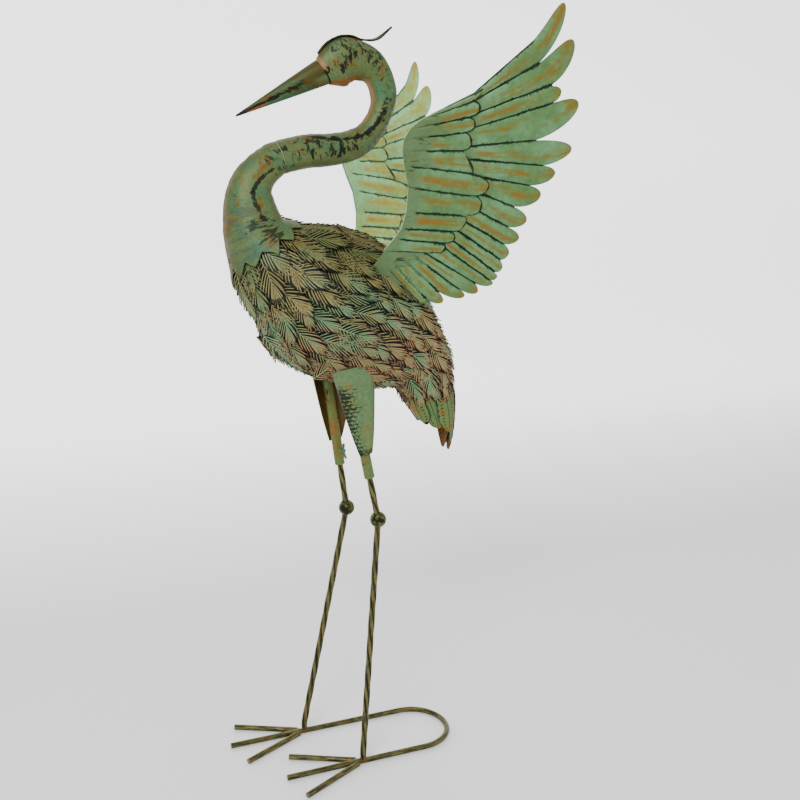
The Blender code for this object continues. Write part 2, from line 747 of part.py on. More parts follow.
def centre_on_ground():
    # Moves the statue so that the origin is under the middle of its outline.
    bpy.context.view_layer.update()
    graph = bpy.context.evaluated_depsgraph_get()
    low = Vector((1e9, 1e9))
    high = Vector((-1e9, -1e9))
    for piece in statue.objects:
        if piece.type == "EMPTY":
            continue
        solid = piece.evaluated_get(graph)
        mesh = solid.to_mesh()
        for vert in mesh.vertices:
            at = solid.matrix_world @ vert.co
            low = Vector((min(low.x, at.x), min(low.y, at.y)))
            high = Vector((max(high.x, at.x), max(high.y, at.y)))
        solid.to_mesh_clear()
    stance.location.x -= (low.x + high.x) / 2
    stance.location.y -= (low.y + high.y) / 2


for old in list(bpy.data.objects):
    bpy.data.objects.remove(old, do_unlink=True)

statue = bpy.data.collections.new("metal_heron")
cutters = bpy.data.collections.new("cutters")
bpy.context.scene.collection.children.link(statue)
bpy.context.scene.collection.children.link(cutters)
stance = bpy.data.objects.new("stance", None)
statue.objects.link(stance)

body = make_body()
make_head_neck()
make_beak()
make_crest()
make_lower_neck()
make_tail()
make_base()
for side, word in ((-1, "left"), (1, "right")):
    make_leg(side, word)
    make_thigh(side, word)
    make_thumb_screw(side, word)
    make_wing(side, word)
    make_toe("toe_outer_" + word, side, side)
    make_toe("toe_inner_" + word, side, -side)
centre_on_ground()
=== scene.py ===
import math
import random

import bpy
import numpy as np
from mathutils import Matrix, Vector, noise


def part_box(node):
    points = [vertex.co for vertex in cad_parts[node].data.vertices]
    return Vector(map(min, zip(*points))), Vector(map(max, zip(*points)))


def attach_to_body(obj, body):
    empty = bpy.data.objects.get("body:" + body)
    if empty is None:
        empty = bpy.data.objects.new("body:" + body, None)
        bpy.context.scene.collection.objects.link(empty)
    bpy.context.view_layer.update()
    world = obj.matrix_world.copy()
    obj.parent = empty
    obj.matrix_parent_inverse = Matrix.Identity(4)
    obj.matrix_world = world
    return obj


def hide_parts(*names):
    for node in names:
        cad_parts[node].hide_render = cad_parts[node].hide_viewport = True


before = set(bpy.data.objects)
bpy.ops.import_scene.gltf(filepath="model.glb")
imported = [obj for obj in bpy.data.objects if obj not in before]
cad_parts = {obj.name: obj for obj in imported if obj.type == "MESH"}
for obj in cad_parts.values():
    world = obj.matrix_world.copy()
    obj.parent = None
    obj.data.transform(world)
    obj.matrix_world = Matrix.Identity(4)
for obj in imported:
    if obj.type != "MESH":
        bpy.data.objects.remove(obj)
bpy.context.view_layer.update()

# Lengths are in metres, +Z up, and the bird faces -X. Drawn places are in millimetres from
# midway between the feet, and the frame puts that point a little in front of its origin.
hoopBack = {"reach": 0.127, "halfSpread": 0.054, "rod": 0.008}
rodFlat = hoopBack["rod"] / 2 * math.cos(math.pi / 8)
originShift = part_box("base_hoop")[1].x - (hoopBack["reach"] + hoopBack["halfSpread"]
    + hoopBack["rod"] / 2)


def place(x, z, y=0.0):
    return Vector((x / 1000 + originShift, y, z / 1000 + rodFlat))


def between(a, b, share):
    return a + (b - a) * share


def along(rows, u):
    # Smooth curve through rows of numbers: the row at u and its slope.
    last = len(rows) - 1
    i = min(max(int(math.floor(u)), 0), last - 1)
    t = u - i
    p1 = np.array(rows[i], float)
    p2 = np.array(rows[i + 1], float)
    p0 = np.array(rows[i - 1], float) if i > 0 else 2 * p1 - p2
    p3 = np.array(rows[i + 2], float) if i + 2 <= last else 2 * p2 - p1
    k1 = (p2 - p0) / 2
    k2 = p0 - 2.5 * p1 + 2 * p2 - p3 / 2
    k3 = (p3 - p0) / 2 + 1.5 * (p1 - p2)
    return p1 + t * (k1 + t * (k2 + t * k3)), k1 + t * (2 * k2 + 3 * t * k3)


def smooth(value, low, high):
    t = min(max((value - low) / (high - low), 0), 1)
    return t * t * (3 - 2 * t)


def rough(point, scale):
    # Steady lumps between -1 and 1.
    return noise.noise(Vector(point) * scale)


def attach(thing):
    bpy.context.scene.collection.objects.link(thing)


# Node graph helpers.


class Signal:
    # Output of a node. Arithmetic on it adds math nodes to the graph that it belongs to.
    def __init__(self, socket):
        self.socket = socket


def feed(value, socket):
    # Links a signal to a socket, or writes a plain value there.
    if isinstance(value, Signal):
        value = value.socket
    if isinstance(value, bpy.types.NodeSocket):
        socket.id_data.links.new(value, socket)
    else:
        socket.default_value = value


def put(tree, kind, inputs=None, **settings):
    item = tree.nodes.new(kind)
    for key, value in settings.items():
        setattr(item, key, value)
    for key, value in (inputs or {}).items():
        feed(value, item.inputs[key])
    return item


def graphOf(inputs):
    return next(value.socket.id_data for value in inputs.values() if isinstance(value, Signal))


def grow(kind, inputs, output=0, **settings):
    return Signal(put(graphOf(inputs), kind, inputs, **settings).outputs[output])


def calc(operation, a, b=0.0):
    return grow("ShaderNodeMath", {0: a, 1: b}, operation=operation)


def arithmetic(operation, swapped=False):
    if swapped:
        return lambda signal, other: calc(operation, other, signal)
    return lambda signal, other=0.0: calc(operation, signal, other)


for word, operation in (("add", "ADD"), ("sub", "SUBTRACT"), ("mul", "MULTIPLY"), ("truediv", "DIVIDE"),
                        ("mod", "MODULO"), ("pow", "POWER")):
    setattr(Signal, "__" + word + "__", arithmetic(operation))
    setattr(Signal, "__r" + word + "__", arithmetic(operation, True))
Signal.__abs__ = arithmetic("ABSOLUTE")


def combine(x, y, z):
    return grow("ShaderNodeCombineXYZ", {0: x, 1: y, 2: z})


def blend(factor, a, b, mode="MIX"):
    return grow("ShaderNodeMix", {0: factor, 6: a, 7: b}, 2, data_type="RGBA", blend_type=mode)


def grain(vector, scale, detail=3.0, roughness=0.55, distortion=0.0):
    return grow("ShaderNodeTexNoise", {"Vector": vector, "Scale": scale, "Detail": detail,
                                       "Roughness": roughness, "Distortion": distortion}, "Fac")


def band(value, low, high):
    # Smooth step from low to high. It falls where low is above high.
    ends = {"Value": value, "From Min": low, "From Max": high}
    if isinstance(low, float) and isinstance(high, float) and low > high:
        ends.update({"From Min": high, "From Max": low, "To Min": 1.0, "To Max": 0.0})
    return grow("ShaderNodeMapRange", ends, interpolation_type="SMOOTHSTEP")


def stretch(vector, scale):
    return grow("ShaderNodeMapping", {"Vector": vector, "Scale": scale})


def newGroup(name, sockets, outputs):
    tree = bpy.data.node_groups.new(name, "ShaderNodeTree")
    kinds = {"c": "NodeSocketColor", "v": "NodeSocketVector", "f": "NodeSocketFloat"}
    for way, labels in (("INPUT", sockets), ("OUTPUT", outputs)):
        for label, kind in labels:
            tree.interface.new_socket(label, in_out=way, socket_type=kinds[kind])
    given = {socket.name: Signal(socket) for socket in put(tree, "NodeGroupInput").outputs}
    return tree, given, put(tree, "NodeGroupOutput").inputs


def useGroup(group, inputs):
    item = put(graphOf(inputs), "ShaderNodeGroup", inputs, node_tree=group)
    return {socket.name: Signal(socket) for socket in item.outputs}


def makePatina():
    # Weathered ground: two mixed tones, ochre patches and a fine speckle.
    tree, given, out = newGroup("patina", [("Position", "v"), ("Scale", "f"), ("Ground", "c"),
        ("Second", "c"), ("Ochre", "c"), ("Ochre Share", "f")], [("Colour", "c"), ("Grain", "f")])
    wide = grain(given["Position"], given["Scale"], 5.0, 0.6)
    colour = blend(band(wide, 0.40, 0.62), given["Ground"], given["Second"])
    shifted = Signal(put(tree, "ShaderNodeVectorMath", {0: given["Position"], 1: (3.1, 1.7, 5.3)},
        operation="ADD").outputs[0])
    patch = grain(shifted, given["Scale"] * 1.4, 6.0, 0.62)
    edge = 0.78 - given["Ochre Share"] * 0.5
    rise = band(patch, edge, edge + 0.14)
    colour = blend(rise, colour, given["Ochre"])
    fine = grain(given["Position"], given["Scale"] * 9.0, 6.0, 0.75)
    shade = fine * 1.3 + 0.35
    grey = Signal(put(tree, "ShaderNodeCombineColor", {0: shade, 1: shade, 2: shade}).outputs[0])
    feed(blend(1.0, colour, grey, "MULTIPLY"), out["Colour"])
    feed(fine, out["Grain"])
    return tree


def makeHair():
    # Brushed line along an edge: dark at the edge, with short hairs that run in from it.
    tree, given, out = newGroup("hairLine", [("Edge", "f"), ("Run", "f"), ("Seed", "f"), ("Width", "f"),
        ("Reach", "f")], [("Mask", "f")])
    where = combine(given["Run"] * 900.0, given["Edge"] * 120.0, given["Seed"])
    hairs = grain(where, 1.0, 2.0, 0.6) ** 3.0
    broad = combine(given["Run"] * 60.0, given["Seed"], 0.5)
    swell = band(grain(broad, 1.0, 2.0), 0.35, 0.65)
    reach = hairs * given["Reach"] * (swell * 1.6 + 0.4)
    limit = reach * 5.0 + given["Width"]
    inside = given["Edge"] / limit
    feed(band(inside, 1.15, 0.75), out["Mask"])
    return tree


def makeBlots():
    # Ragged black dabs.
    tree, given, out = newGroup("blots", [("Position", "v"), ("Scale", "f"), ("Share", "f")],
        [("Mask", "f")])
    wide = grain(given["Position"], given["Scale"], 6.0, 0.7, 0.3)
    edge = 0.80 - given["Share"] * 0.42
    feed(band(wide, edge, edge + 0.045), out["Mask"])
    return tree


palette = {"saturation": 1.16, "depth": 0.60, "shine": 0.22}
patina = makePatina()
hairLine = makeHair()
blots = makeBlots()


def rgb(red, green, blue):
    # Base colour for a colour seen on screen: deeper and stronger, as the light washes it out.
    linear = [((c / 255 + 0.055) / 1.055) ** 2.4 if c > 10 else c / 3294 for c in (red, green, blue)]
    grey = sum(linear) / 3
    return tuple(max(0.002, (grey + (c - grey) * palette["saturation"]) * palette["depth"])
                 for c in linear) + (1,)


def weathered(position, scale, ground, second, ochre, share):
    return useGroup(patina, {"Position": position, "Scale": scale, "Ground": rgb(*ground),
                             "Second": rgb(*second), "Ochre": rgb(*ochre), "Ochre Share": share})


def dye(colour, share, *tone):
    return blend(share, colour, rgb(*tone))


class Coat:
    # One material with its graph, position and the painted attributes of the mesh.
    def __init__(self, name, roughness, metallic):
        self.material = bpy.data.materials.new(name)
        self.material.use_nodes = True
        self.tree = self.material.node_tree
        self.shader = self.tree.nodes["Principled BSDF"]
        self.shader.inputs["Roughness"].default_value = roughness
        self.shader.inputs["Metallic"].default_value = metallic
        self.shader.inputs["Specular IOR Level"].default_value = palette["shine"]
        self.position = Signal(put(self.tree, "ShaderNodeTexCoord").outputs["Object"])
        paint = put(self.tree, "ShaderNodeAttribute", attribute_name="paint").outputs["Vector"]
        parts = put(self.tree, "ShaderNodeSeparateXYZ", {0: paint}).outputs
        self.run, self.across, self.tint = [Signal(part) for part in parts]

    def value(self, name):
        return Signal(put(self.tree, "ShaderNodeAttribute", attribute_name=name).outputs["Fac"])

    def finish(self, colour, height, strength):
        feed(colour, self.shader.inputs["Base Color"])
        bump = put(self.tree, "ShaderNodeBump", {"Height": height, "Strength": strength,
                                                 "Distance": 0.0006})
        feed(bump.outputs[0], self.shader.inputs["Normal"])
        return self.material


# Mesh helpers.


def faceGrid(rows, cols, start=0, closed=False, flip=False):
    faces = []
    for i in range(rows - 1):
        for j in range(cols if closed else cols - 1):
            n = (j + 1) % cols
            quad = (start + i * cols + j, start + (i + 1) * cols + j, start + (i + 1) * cols + n, start
                + i * cols + n)
            faces.append(quad[::-1] if flip else quad)
    return faces


def newMesh(name, points, faces, attributes):
    mesh = bpy.data.meshes.new(name)
    mesh.from_pydata([tuple(p) for p in points], [], faces)
    for label, values in attributes.items():
        values = np.array(values, np.float32)
        kind = "FLOAT_VECTOR" if values.ndim == 2 else "FLOAT"
        layer = mesh.attributes.new(label, kind, "POINT")
        layer.data.foreach_set("vector" if values.ndim == 2 else "value", values.ravel())
    mesh.validate()
    return mesh


def roundMesh(name, rings, paint):
    # Tube over closed rings of points.
    rows, cols = len(rings), len(rings[0])
    points = [p for ring in rings for p in ring]
    faces = faceGrid(rows, cols, closed=True)
    faces.append(tuple(range(cols)))
    faces.append(tuple(range((rows - 1) * cols, rows * cols))[::-1])
    return newMesh(name, points, faces, {"paint": [p for ring in paint for p in ring]})


def sheetParts(front, back, paint, extra, closed=False):
    # Front and back of a sheet with its edges; front and back are rows of points.
    rows, cols = len(front), len(front[0])
    size = rows * cols
    points = [p for row in front for p in row] + [p for row in back for p in row]
    faces = faceGrid(rows, cols, 0, closed) + faceGrid(rows, cols, size, closed, True)
    for j in range(cols if closed else cols - 1):
        n = (j + 1) % cols
        faces.append((j, n, size + n, size + j))
        low = (rows - 1) * cols
        faces.append((low + n, low + j, size + low + j, size + low + n))
    if not closed:
        for i in range(rows - 1):
            a, b = i * cols, (i + 1) * cols
            faces.append((b, a, size + a, size + b))
            faces.append((a + cols - 1, b + cols - 1, size + b + cols - 1, size + a + cols - 1))
    flat = [p for row in paint for p in row]
    marks = {"paint": flat + flat}
    for label, values in extra.items():
        values = [v for row in values for v in row]
        marks[label] = values + values
    marks["inner"] = [0.0] * size + [1.0] * size
    return points, faces, marks


def joinParts(name, parts):
    points, faces = [], []
    labels = parts[0][2].keys()
    marks = {label: [] for label in labels}
    for somePoints, someFaces, someMarks in parts:
        start = len(points)
        points.extend(somePoints)
        faces.extend(tuple(v + start for v in f) for f in someFaces)
        for label in labels:
            marks[label].extend(someMarks[label])
    return newMesh(name, points, faces, marks)


def sweep(path, step, sides, outline, paintTint):
    # Tube along a path: outline gives the radius from the distance along and the angle.
    dense = [path[0]]
    for a, b in zip(path, path[1:]):
        count = max(1, round((b - a).length / step))
        dense.extend(between(a, b, i / count) for i in range(1, count + 1))
    normal = None
    rings, paint = [], []
    run = 0.0
    for k, p in enumerate(dense):
        ahead = dense[min(k + 1, len(dense) - 1)]
        behind = dense[max(k - 1, 0)]
        travel = (ahead - behind).normalized()
        if normal is None:
            normal = Vector((0, 0, 1)) if abs(travel.z) < 0.9 else Vector((1, 0, 0))
        normal = (normal - travel * normal.dot(travel)).normalized()
        cross = travel.cross(normal)
        if k:
            run += (p - dense[k - 1]).length
        ring, marks = [], []
        for j in range(sides):
            angle = math.tau * j / sides
            radius = outline(run, angle, p)
            ring.append(p + (normal * math.cos(angle) + cross * math.sin(angle)) * radius)
            marks.append((run, angle / math.pi - 1, paintTint))
        rings.append(ring[::-1])
        paint.append(marks[::-1])
    return rings, paint


def tubePart(rings, paint, extra=None):
    # Tube with flat ends that carry their own mark.
    cols, count = len(rings[0]), len(rings)
    points = [p for r in rings for p in r] + list(rings[0]) + list(rings[-1])
    faces = faceGrid(count, cols, closed=True)
    faces.append(tuple(range(count * cols, (count + 1) * cols)))
    faces.append(tuple(range((count + 1) * cols, (count + 2) * cols))[::-1])
    marks = {"paint": [p for r in paint for p in r] + list(paint[0]) + list(paint[-1]),
        "cut": [0.0] * (count * cols) + [1.0] * (2 * cols)}
    for label, value in (extra or {}).items():
        marks[label] = [value] * len(points)
    return points, faces, marks


def addPiece(name, mesh, material, nodes, angle=50):
    piece = bpy.data.objects.new(name, mesh)
    attach(piece)
    if material:
        mesh.materials.clear()
        mesh.materials.append(material)
    mesh.shade_smooth()
    mesh.set_sharp_from_angle(angle=math.radians(angle))
    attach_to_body(piece, "root")
    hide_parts(*nodes)


# The bird's line from the beak seam to the rump: x, z, half depth and half width in millimetres.
spine = [(0, 955, 16.5, 12), (14, 964, 24.5, 18), (31, 972, 28, 20), (49, 972.5, 25, 19),
    (66, 966, 22, 18), (78, 952, 19, 17), (84, 931, 18, 17), (80, 910, 16, 16), (69, 889, 16, 16),
    (53, 873, 18, 17), (30, 863, 19.5, 19), (4, 858.5, 20.5, 20), (-24, 856, 21, 20.5),
    (-58, 848, 21, 20.5), (-71, 841, 22, 21), (-86, 828, 24, 23), (-97, 811, 28, 26), (-100, 791, 33, 31),
    (-98, 771.5, 37, 34), (-93, 752.5, 43.5, 39), (-81, 733, 56.5, 47), (-62.5, 710.5, 74, 57),
    (-37, 691, 89, 68), (-7, 666, 105, 76), (31, 650, 104, 78), (65, 625, 93, 72), (102, 601, 77, 62),
    (126, 582, 57, 54), (143, 553, 48, 46)]
neckJoint = 13
rump = 28


def section(rows, u):
    row, slope = along(rows, u)
    travel = Vector((slope[0], 0, slope[1])).normalized()
    back = Vector((-travel.z, 0, travel.x))
    return place(row[0], row[1]), travel, back, row[2] / 1000, row[3] / 1000


def roundPoint(rows, u, angle, out=0.0):
    centre, travel, back, depth, width = section(rows, u)
    return (centre + back * (depth + out) * math.cos(angle)
        + Vector((0, (width + out) * math.sin(angle), 0)))


def lengthsAlong(rows, us):
    # Distance along the line at each of these places.
    total = 0.0
    found = []
    before = None
    for u in us:
        centre = section(rows, u)[0]
        if before is not None:
            total += (centre - before).length
        found.append(total)
        before = centre
    return found


def makeDabs():
    # Ragged painted band on the neck. It runs from one place on the line to another.
    sockets = [("Place", "f"), ("Turn", "f"), ("From", "f"), ("To", "f"), ("Turn From", "f"),
        ("Turn To", "f"), ("Half Width", "f"), ("Beat", "f"), ("Turn Beat", "f"), ("Rag", "f"),
        ("Fill", "f")]
    tree, given, out = newGroup("dabBand", sockets, [("Mask", "f")])
    length = given["To"] - given["From"]
    share = (given["Place"] - given["From"]) / length
    change = given["Turn To"] - given["Turn From"]
    middle = given["Turn From"] + change * share
    side = abs(given["Turn"])
    off = abs(side - middle) / given["Half Width"]
    inside = 1.0 - off * off
    ends = band(share, -0.08, 0.12) * band(share, 1.08, 0.88)
    where = combine(given["Place"] * given["Beat"], given["Turn"] * given["Turn Beat"], given["From"])
    torn = grain(where, 1.0, 5.0, 0.66, 0.4) - 0.5
    full = inside * ends * given["Fill"]
    level = full + torn * given["Rag"]
    feed(band(level, 0.43, 0.52), out["Mask"])
    return tree


dabBand = makeDabs()

# Head and neck.
neckForm = {
    "rings": 150, "sides": 56, "weld": 0.0010, "weldWidth": 0.10, "chin": 0.0034, "lump": 0.0005,
    "tab": (0.16, 0.50, 0.0030, 0.0009),
}
# Painted bands: from and to along the line, turn at both ends, half width, beat, turn beat, rag, fill
# and strength.
neckDabs = [(0.9, 4.4, 0.36, 0.34, 0.30, 5.0, 9.0, 3.0, 0.42, 0.88),
    (1.1, 2.6, 0.60, 0.44, 0.12, 4.0, 7.0, 2.4, 0.60, 0.95),
    (3.6, 7.8, 0.42, 0.52, 0.20, 4.4, 8.0, 3.2, 0.36, 0.75), (7.3, 12.1, 0.50, 0.81, 0.095, 2.4, 9.0, 2.2,
    0.72, 0.97), (6.8, 9.6, 0.50, 0.62, 0.16, 3.6, 7.0, 2.6, 0.50, 0.92), (9.2, 13.1, 0.44, 0.40, 0.18,
    4.6, 3.4, 2.9, 0.46, 0.96), (11.4, 13.1, 0.70, 0.68, 0.16, 3.2, 5.0, 2.8, 0.40, 0.90), (9.4, 12.4,
    0.60, 0.56, 0.12, 5.0, 5.0, 3.0, 0.42, 0.85)]
breastDabs = [(13.0, 15.0, 0.64, 0.62, 0.17, 4.0, 6.0, 2.8, 0.42, 0.80),
    (13.0, 14.6, 0.34, 0.36, 0.14, 4.4, 3.6, 2.8, 0.44, 0.90),
    (14.1, 16.7, 0.40, 0.54, 0.050, 2.6, 9.0, 1.9, 0.70, 0.90),
    (16.2, 18.4, 0.54, 0.42, 0.050, 2.8, 9.0, 1.9, 0.66, 0.86),
    (16.6, 20.2, 0.66, 0.62, 0.34, 5.2, 3.6, 2.8, 0.42, 0.42),
    (17.8, 19.9, 0.44, 0.44, 0.20, 4.4, 6.0, 2.8, 0.44, 0.80)]


def neckRelief(point, u, angle):
    # Small hammer marks, a weld bead along the throat and the nape, and the full chin.
    low = abs(abs(angle) - math.pi)
    bead = math.exp(-(low / neckForm["weldWidth"]) ** 2)
    bead += 0.5 * math.exp(-(angle / neckForm["weldWidth"]) ** 2)
    bead *= 0.55 + 0.75 * rough(point, 160)
    chin = neckForm["chin"] * smooth(u, -0.2, 0.6) * (1 - smooth(u, 1.30, 1.75))
    chin *= max(0, -math.cos(angle)) ** 1.5
    return neckForm["weld"] * bead + neckForm["lump"] * rough(point, 45) + chin


def makeHeadNeck():
    count, sides = neckForm["rings"], neckForm["sides"]
    us = [neckJoint * i / count for i in range(count + 1)]
    rings, paint = [], []
    for u, run in zip(us, lengthsAlong(spine, us)):
        ring, marks = [], []
        for j in range(sides):
            angle = math.tau * j / sides
            turn = angle if angle <= math.pi else angle - math.tau
            base = roundPoint(spine, u, turn)
            ring.append(roundPoint(spine, u, turn, neckRelief(base, u, turn)))
            marks.append((run, turn / math.pi, u / 28))
        rings.append(ring)
        paint.append(marks)
    parts = [tubePart(rings, paint)]
    # A small curled tab of the seam on each cheek.
    u0, turn0, size, rod = neckForm["tab"]
    for side in (-1, 1):
        path = []
        for i in range(13):
            bend = math.radians(-60 + 260 * i / 12)
            u = u0 + size * math.cos(bend) * 0.8 / 0.0166
            turn = side * (turn0 * math.pi + size * math.sin(bend) / 0.016)
            path.append(roundPoint(spine, max(u, 0.02), turn, 0.0008))
        tabRings, tabPaint = sweep(path, 0.0005, 10, lambda run, angle, p: rod, 0.01)
        tabPaint = [[(0.0005, 0.6, 0.0)] * 10 for ring in tabRings]
        parts.append(tubePart(tabRings, tabPaint))
    return joinParts("headNeck", parts)


def coatNeck(name, dabs, breast):
    coat = Coat(name, 0.52, 0.22)
    ground = weathered(coat.position, 34.0, (112, 126, 82), (90, 128, 90), (126, 102, 54), 0.52)
    colour = ground["Colour"]
    place0 = coat.tint * 28.0
    turn = abs(coat.across)
    warm = grain(coat.position, 34.0, 5.0, 0.62)
    # Brown towards the two weld seams, which are the bird's outline from the side.
    rim = calc("MAXIMUM", band(turn, 0.74, 0.97), band(turn, 0.26, 0.04))
    worn = rim * band(warm, 0.26, 0.58)
    colour = dye(colour, worn * 0.85, 96, 80, 40)
    soot = rim * band(grain(coat.position, 75.0, 4.0, 0.65), 0.5, 0.66)
    colour = dye(colour, soot * 0.55, 54, 50, 34)
    for start, end, turn0, turn1, half, beat, turnBeat, rag, fill, strength in dabs:
        mask = useGroup(dabBand, {"Place": place0, "Turn": coat.across, "From": start, "To": end,
            "Turn From": turn0, "Turn To": turn1, "Half Width": half, "Beat": beat, "Turn Beat": turnBeat,
            "Rag": rag, "Fill": fill})["Mask"]
        tone = rgb(70, 80, 84) if breast and strength < 0.5 else rgb(16, 22, 16)
        colour = blend(mask * strength, colour, tone)
    if breast:
        torn = band(coat.value("edge"), 0.0016, 0.0005)
        colour = dye(colour, torn, 24, 28, 20)
        # Painted highlight: a thin pale line of light along the neck joint.
        jointHighlight = band(coat.run, 0.0016, 0.0009) * band(turn, 0.16, 0.26)
        colour = dye(colour, jointHighlight * 0.9, 226, 230, 220)
    else:
        # Salmon cheek, orange chin and throat, grey bars on the nape.
        cheek = band(place0, 0.42, 0.24) * band(turn, 0.52, 0.44)
        colour = dye(colour, cheek * 0.85, 172, 132, 100)
        chin = band(turn, 0.72, 0.86) * band(place0, 3.6, 2.2)
        colour = dye(colour, chin * 0.75, 172, 104, 58)
        throat = band(turn, 0.76, 0.92) * (band(place0, 3.2, 4.4) * band(place0, 9.2, 7.8))
        colour = dye(colour, throat * 0.70, 176, 134, 92)
        bars = abs(calc("FRACT", place0 * 2.6) - 0.5)
        bars = band(bars, 0.28, 0.12) * band(turn, 0.42, 0.26)
        bars = bars * (band(place0, 5.6, 6.4) * band(place0, 10.0, 9.0))
        colour = dye(colour, bars * 0.75, 86, 84, 96)
        seam = band(coat.run, 0.0020, 0.0010) * band(turn, 0.42, 0.52)
        colour = dye(colour, seam, 18, 18, 14)
    return coat.finish(colour, ground["Grain"], 0.35)


addPiece("headNeck", makeHeadNeck(), coatNeck("neckPatina", neckDabs, False), ["head_neck"])
print("head and neck")


# Beak.
beakForm = {"tip": (-114, 897), "rings": 46, "sides": 40, "slit": 0.0009}


def makeBeak():
    centre, travel, back, depth, width = section(spine, 0)
    tip = place(*beakForm["tip"])
    rings, paint = [], []
    for i in range(beakForm["rings"] + 1):
        share = 1 - (1 - i / beakForm["rings"]) ** 1.15
        slim = (1 - share ** 1.05 * 0.93) * (1 if share < 0.995 else 0.6)
        middle = between(centre - travel * 0.0004, tip, share)
        ring, marks = [], []
        for j in range(beakForm["sides"]):
            angle = math.tau * j / beakForm["sides"]
            turn = angle if angle <= math.pi else angle - math.tau
            mouth = math.exp(-((abs(turn) - 1.75) / 0.10) ** 2) * beakForm["slit"] * (1 - share * 0.6)
            keel = 0.0006 * math.exp(-(turn / 0.22) ** 2) * (1 - share)
            spread = slim * math.cos(turn) * (depth + keel - mouth)
            ring.append(middle + back * spread + Vector((0, (width - mouth) * slim * math.sin(turn), 0)))
            marks.append((share * 0.128, turn / math.pi, 0.3))
        rings.append(ring)
        paint.append(marks)
    return roundMesh("beak", [r[::-1] for r in rings], [m[::-1] for m in paint])


def coatBeak():
    coat = Coat("beakPatina", 0.46, 0.4)
    streaked = stretch(coat.position, (0.35, 1.0, 1.0))
    ground = weathered(streaked, 55.0, (88, 82, 42), (78, 96, 62), (108, 72, 32), 0.5)
    colour = ground["Colour"]
    turn = abs(coat.across)
    patch = grain(streaked, 70.0, 5.0, 0.6)
    teal = band(turn, 0.54, 0.62) * band(patch, 0.44, 0.58)
    teal = teal * band(coat.run, 0.104, 0.090)
    colour = dye(colour, teal * 0.85, 78, 124, 92)
    grey = band(coat.run, 0.022, 0.010) * band(turn, 0.55, 0.65)
    colour = dye(colour, grey * 0.7, 116, 122, 84)
    off = abs(turn - 0.53)
    torn = grain(streaked, 190.0, 4.0, 0.65)
    reach = band(torn, 0.34, 0.72) * 0.16
    lip = band(off - reach, 0.03, -0.01)
    lip = lip * band(coat.run, 0.024, 0.040)
    colour = dye(colour, lip * 0.92, 20, 24, 16)
    pink = band(coat.run, 0.082, 0.096) * band(turn, 0.56, 0.66)
    colour = dye(colour, pink * 0.8, 164, 100, 66)
    colour = dye(colour, band(coat.run, 0.106, 0.118), 36, 36, 26)
    return coat.finish(colour, ground["Grain"], 0.35)


addPiece("beak", makeBeak(), coatBeak(), ["beak"])
print("beak")


# Crest.
crestForm = {
    "tip": (96, 1017), "dip": 7, "width": 0.013, "thickness": 0.0032, "sheet": 0.0022, "roll": 17,
    "widths": (0.35, 0.7, 0.9, 1, 1, 0.9, 0.75, 0.10),
}


def makeCrest():
    knots = [roundPoint(spine, u / 2, 0, 0.0003 + crestForm["sheet"] / 2) for u in range(1, 7)]
    tip = place(*crestForm["tip"])
    knots.append(between(knots[-1], tip, 0.5) - Vector((0, 0, crestForm["dip"] / 1000)))
    knots.append(tip)
    rows = [(p.x, p.z, w) for p, w in zip(knots, crestForm["widths"])]
    rings, paint = [], []
    count = 60
    for i in range(count + 1):
        row, slope = along(rows, (len(rows) - 1) * i / count)
        run = Vector((slope[0], 0, slope[1])).normalized()
        rise = Vector((-run.z, 0, run.x))
        half = crestForm["thickness"] / 2
        middle = Vector((row[0], 0, row[1]))
        ring, marks = [], []
        for j in range(14):
            angle = math.tau * j / 14
            side = math.copysign(abs(math.sin(angle)) ** 0.7, math.sin(angle))
            crown = math.copysign(abs(math.cos(angle)) ** 0.6, math.cos(angle))
            reach = crestForm["width"] / 2 * max(row[2], 0.1) * side
            roll = math.tan(math.radians(crestForm["roll"])) * smooth(i / count, 0.62, 0.85)
            ring.append(middle + rise * (half * crown * (0.9 + 0.15 * rough(middle, 260)) + reach * roll)
                + Vector((0, reach, 0)))
            marks.append((i / count, side, 0.5))
        rings.append(ring[::-1])
        paint.append(marks[::-1])
    return roundMesh("crest", rings, paint)


def coatCrestShaded():
    # Dark patina with painted shade in it: the crest is a strip seen nearly edge-on, its underside in
    # shade.
    coat = Coat("crestPatinaAndShade", 0.5, 0.45)
    ground = weathered(coat.position, 55.0, (62, 66, 44), (40, 44, 30), (96, 92, 58), 0.5)
    return coat.finish(ground["Colour"], ground["Grain"], 0.4)


addPiece("crest", makeCrest(), coatCrestShaded(), ["crest"])
print("crest")


# Lower neck with the breast shield.
shieldForm = {"tabs": 12, "perTab": 10, "rings": 60, "tip": 20.33, "notch": 19.78, "wall": 0.0015}


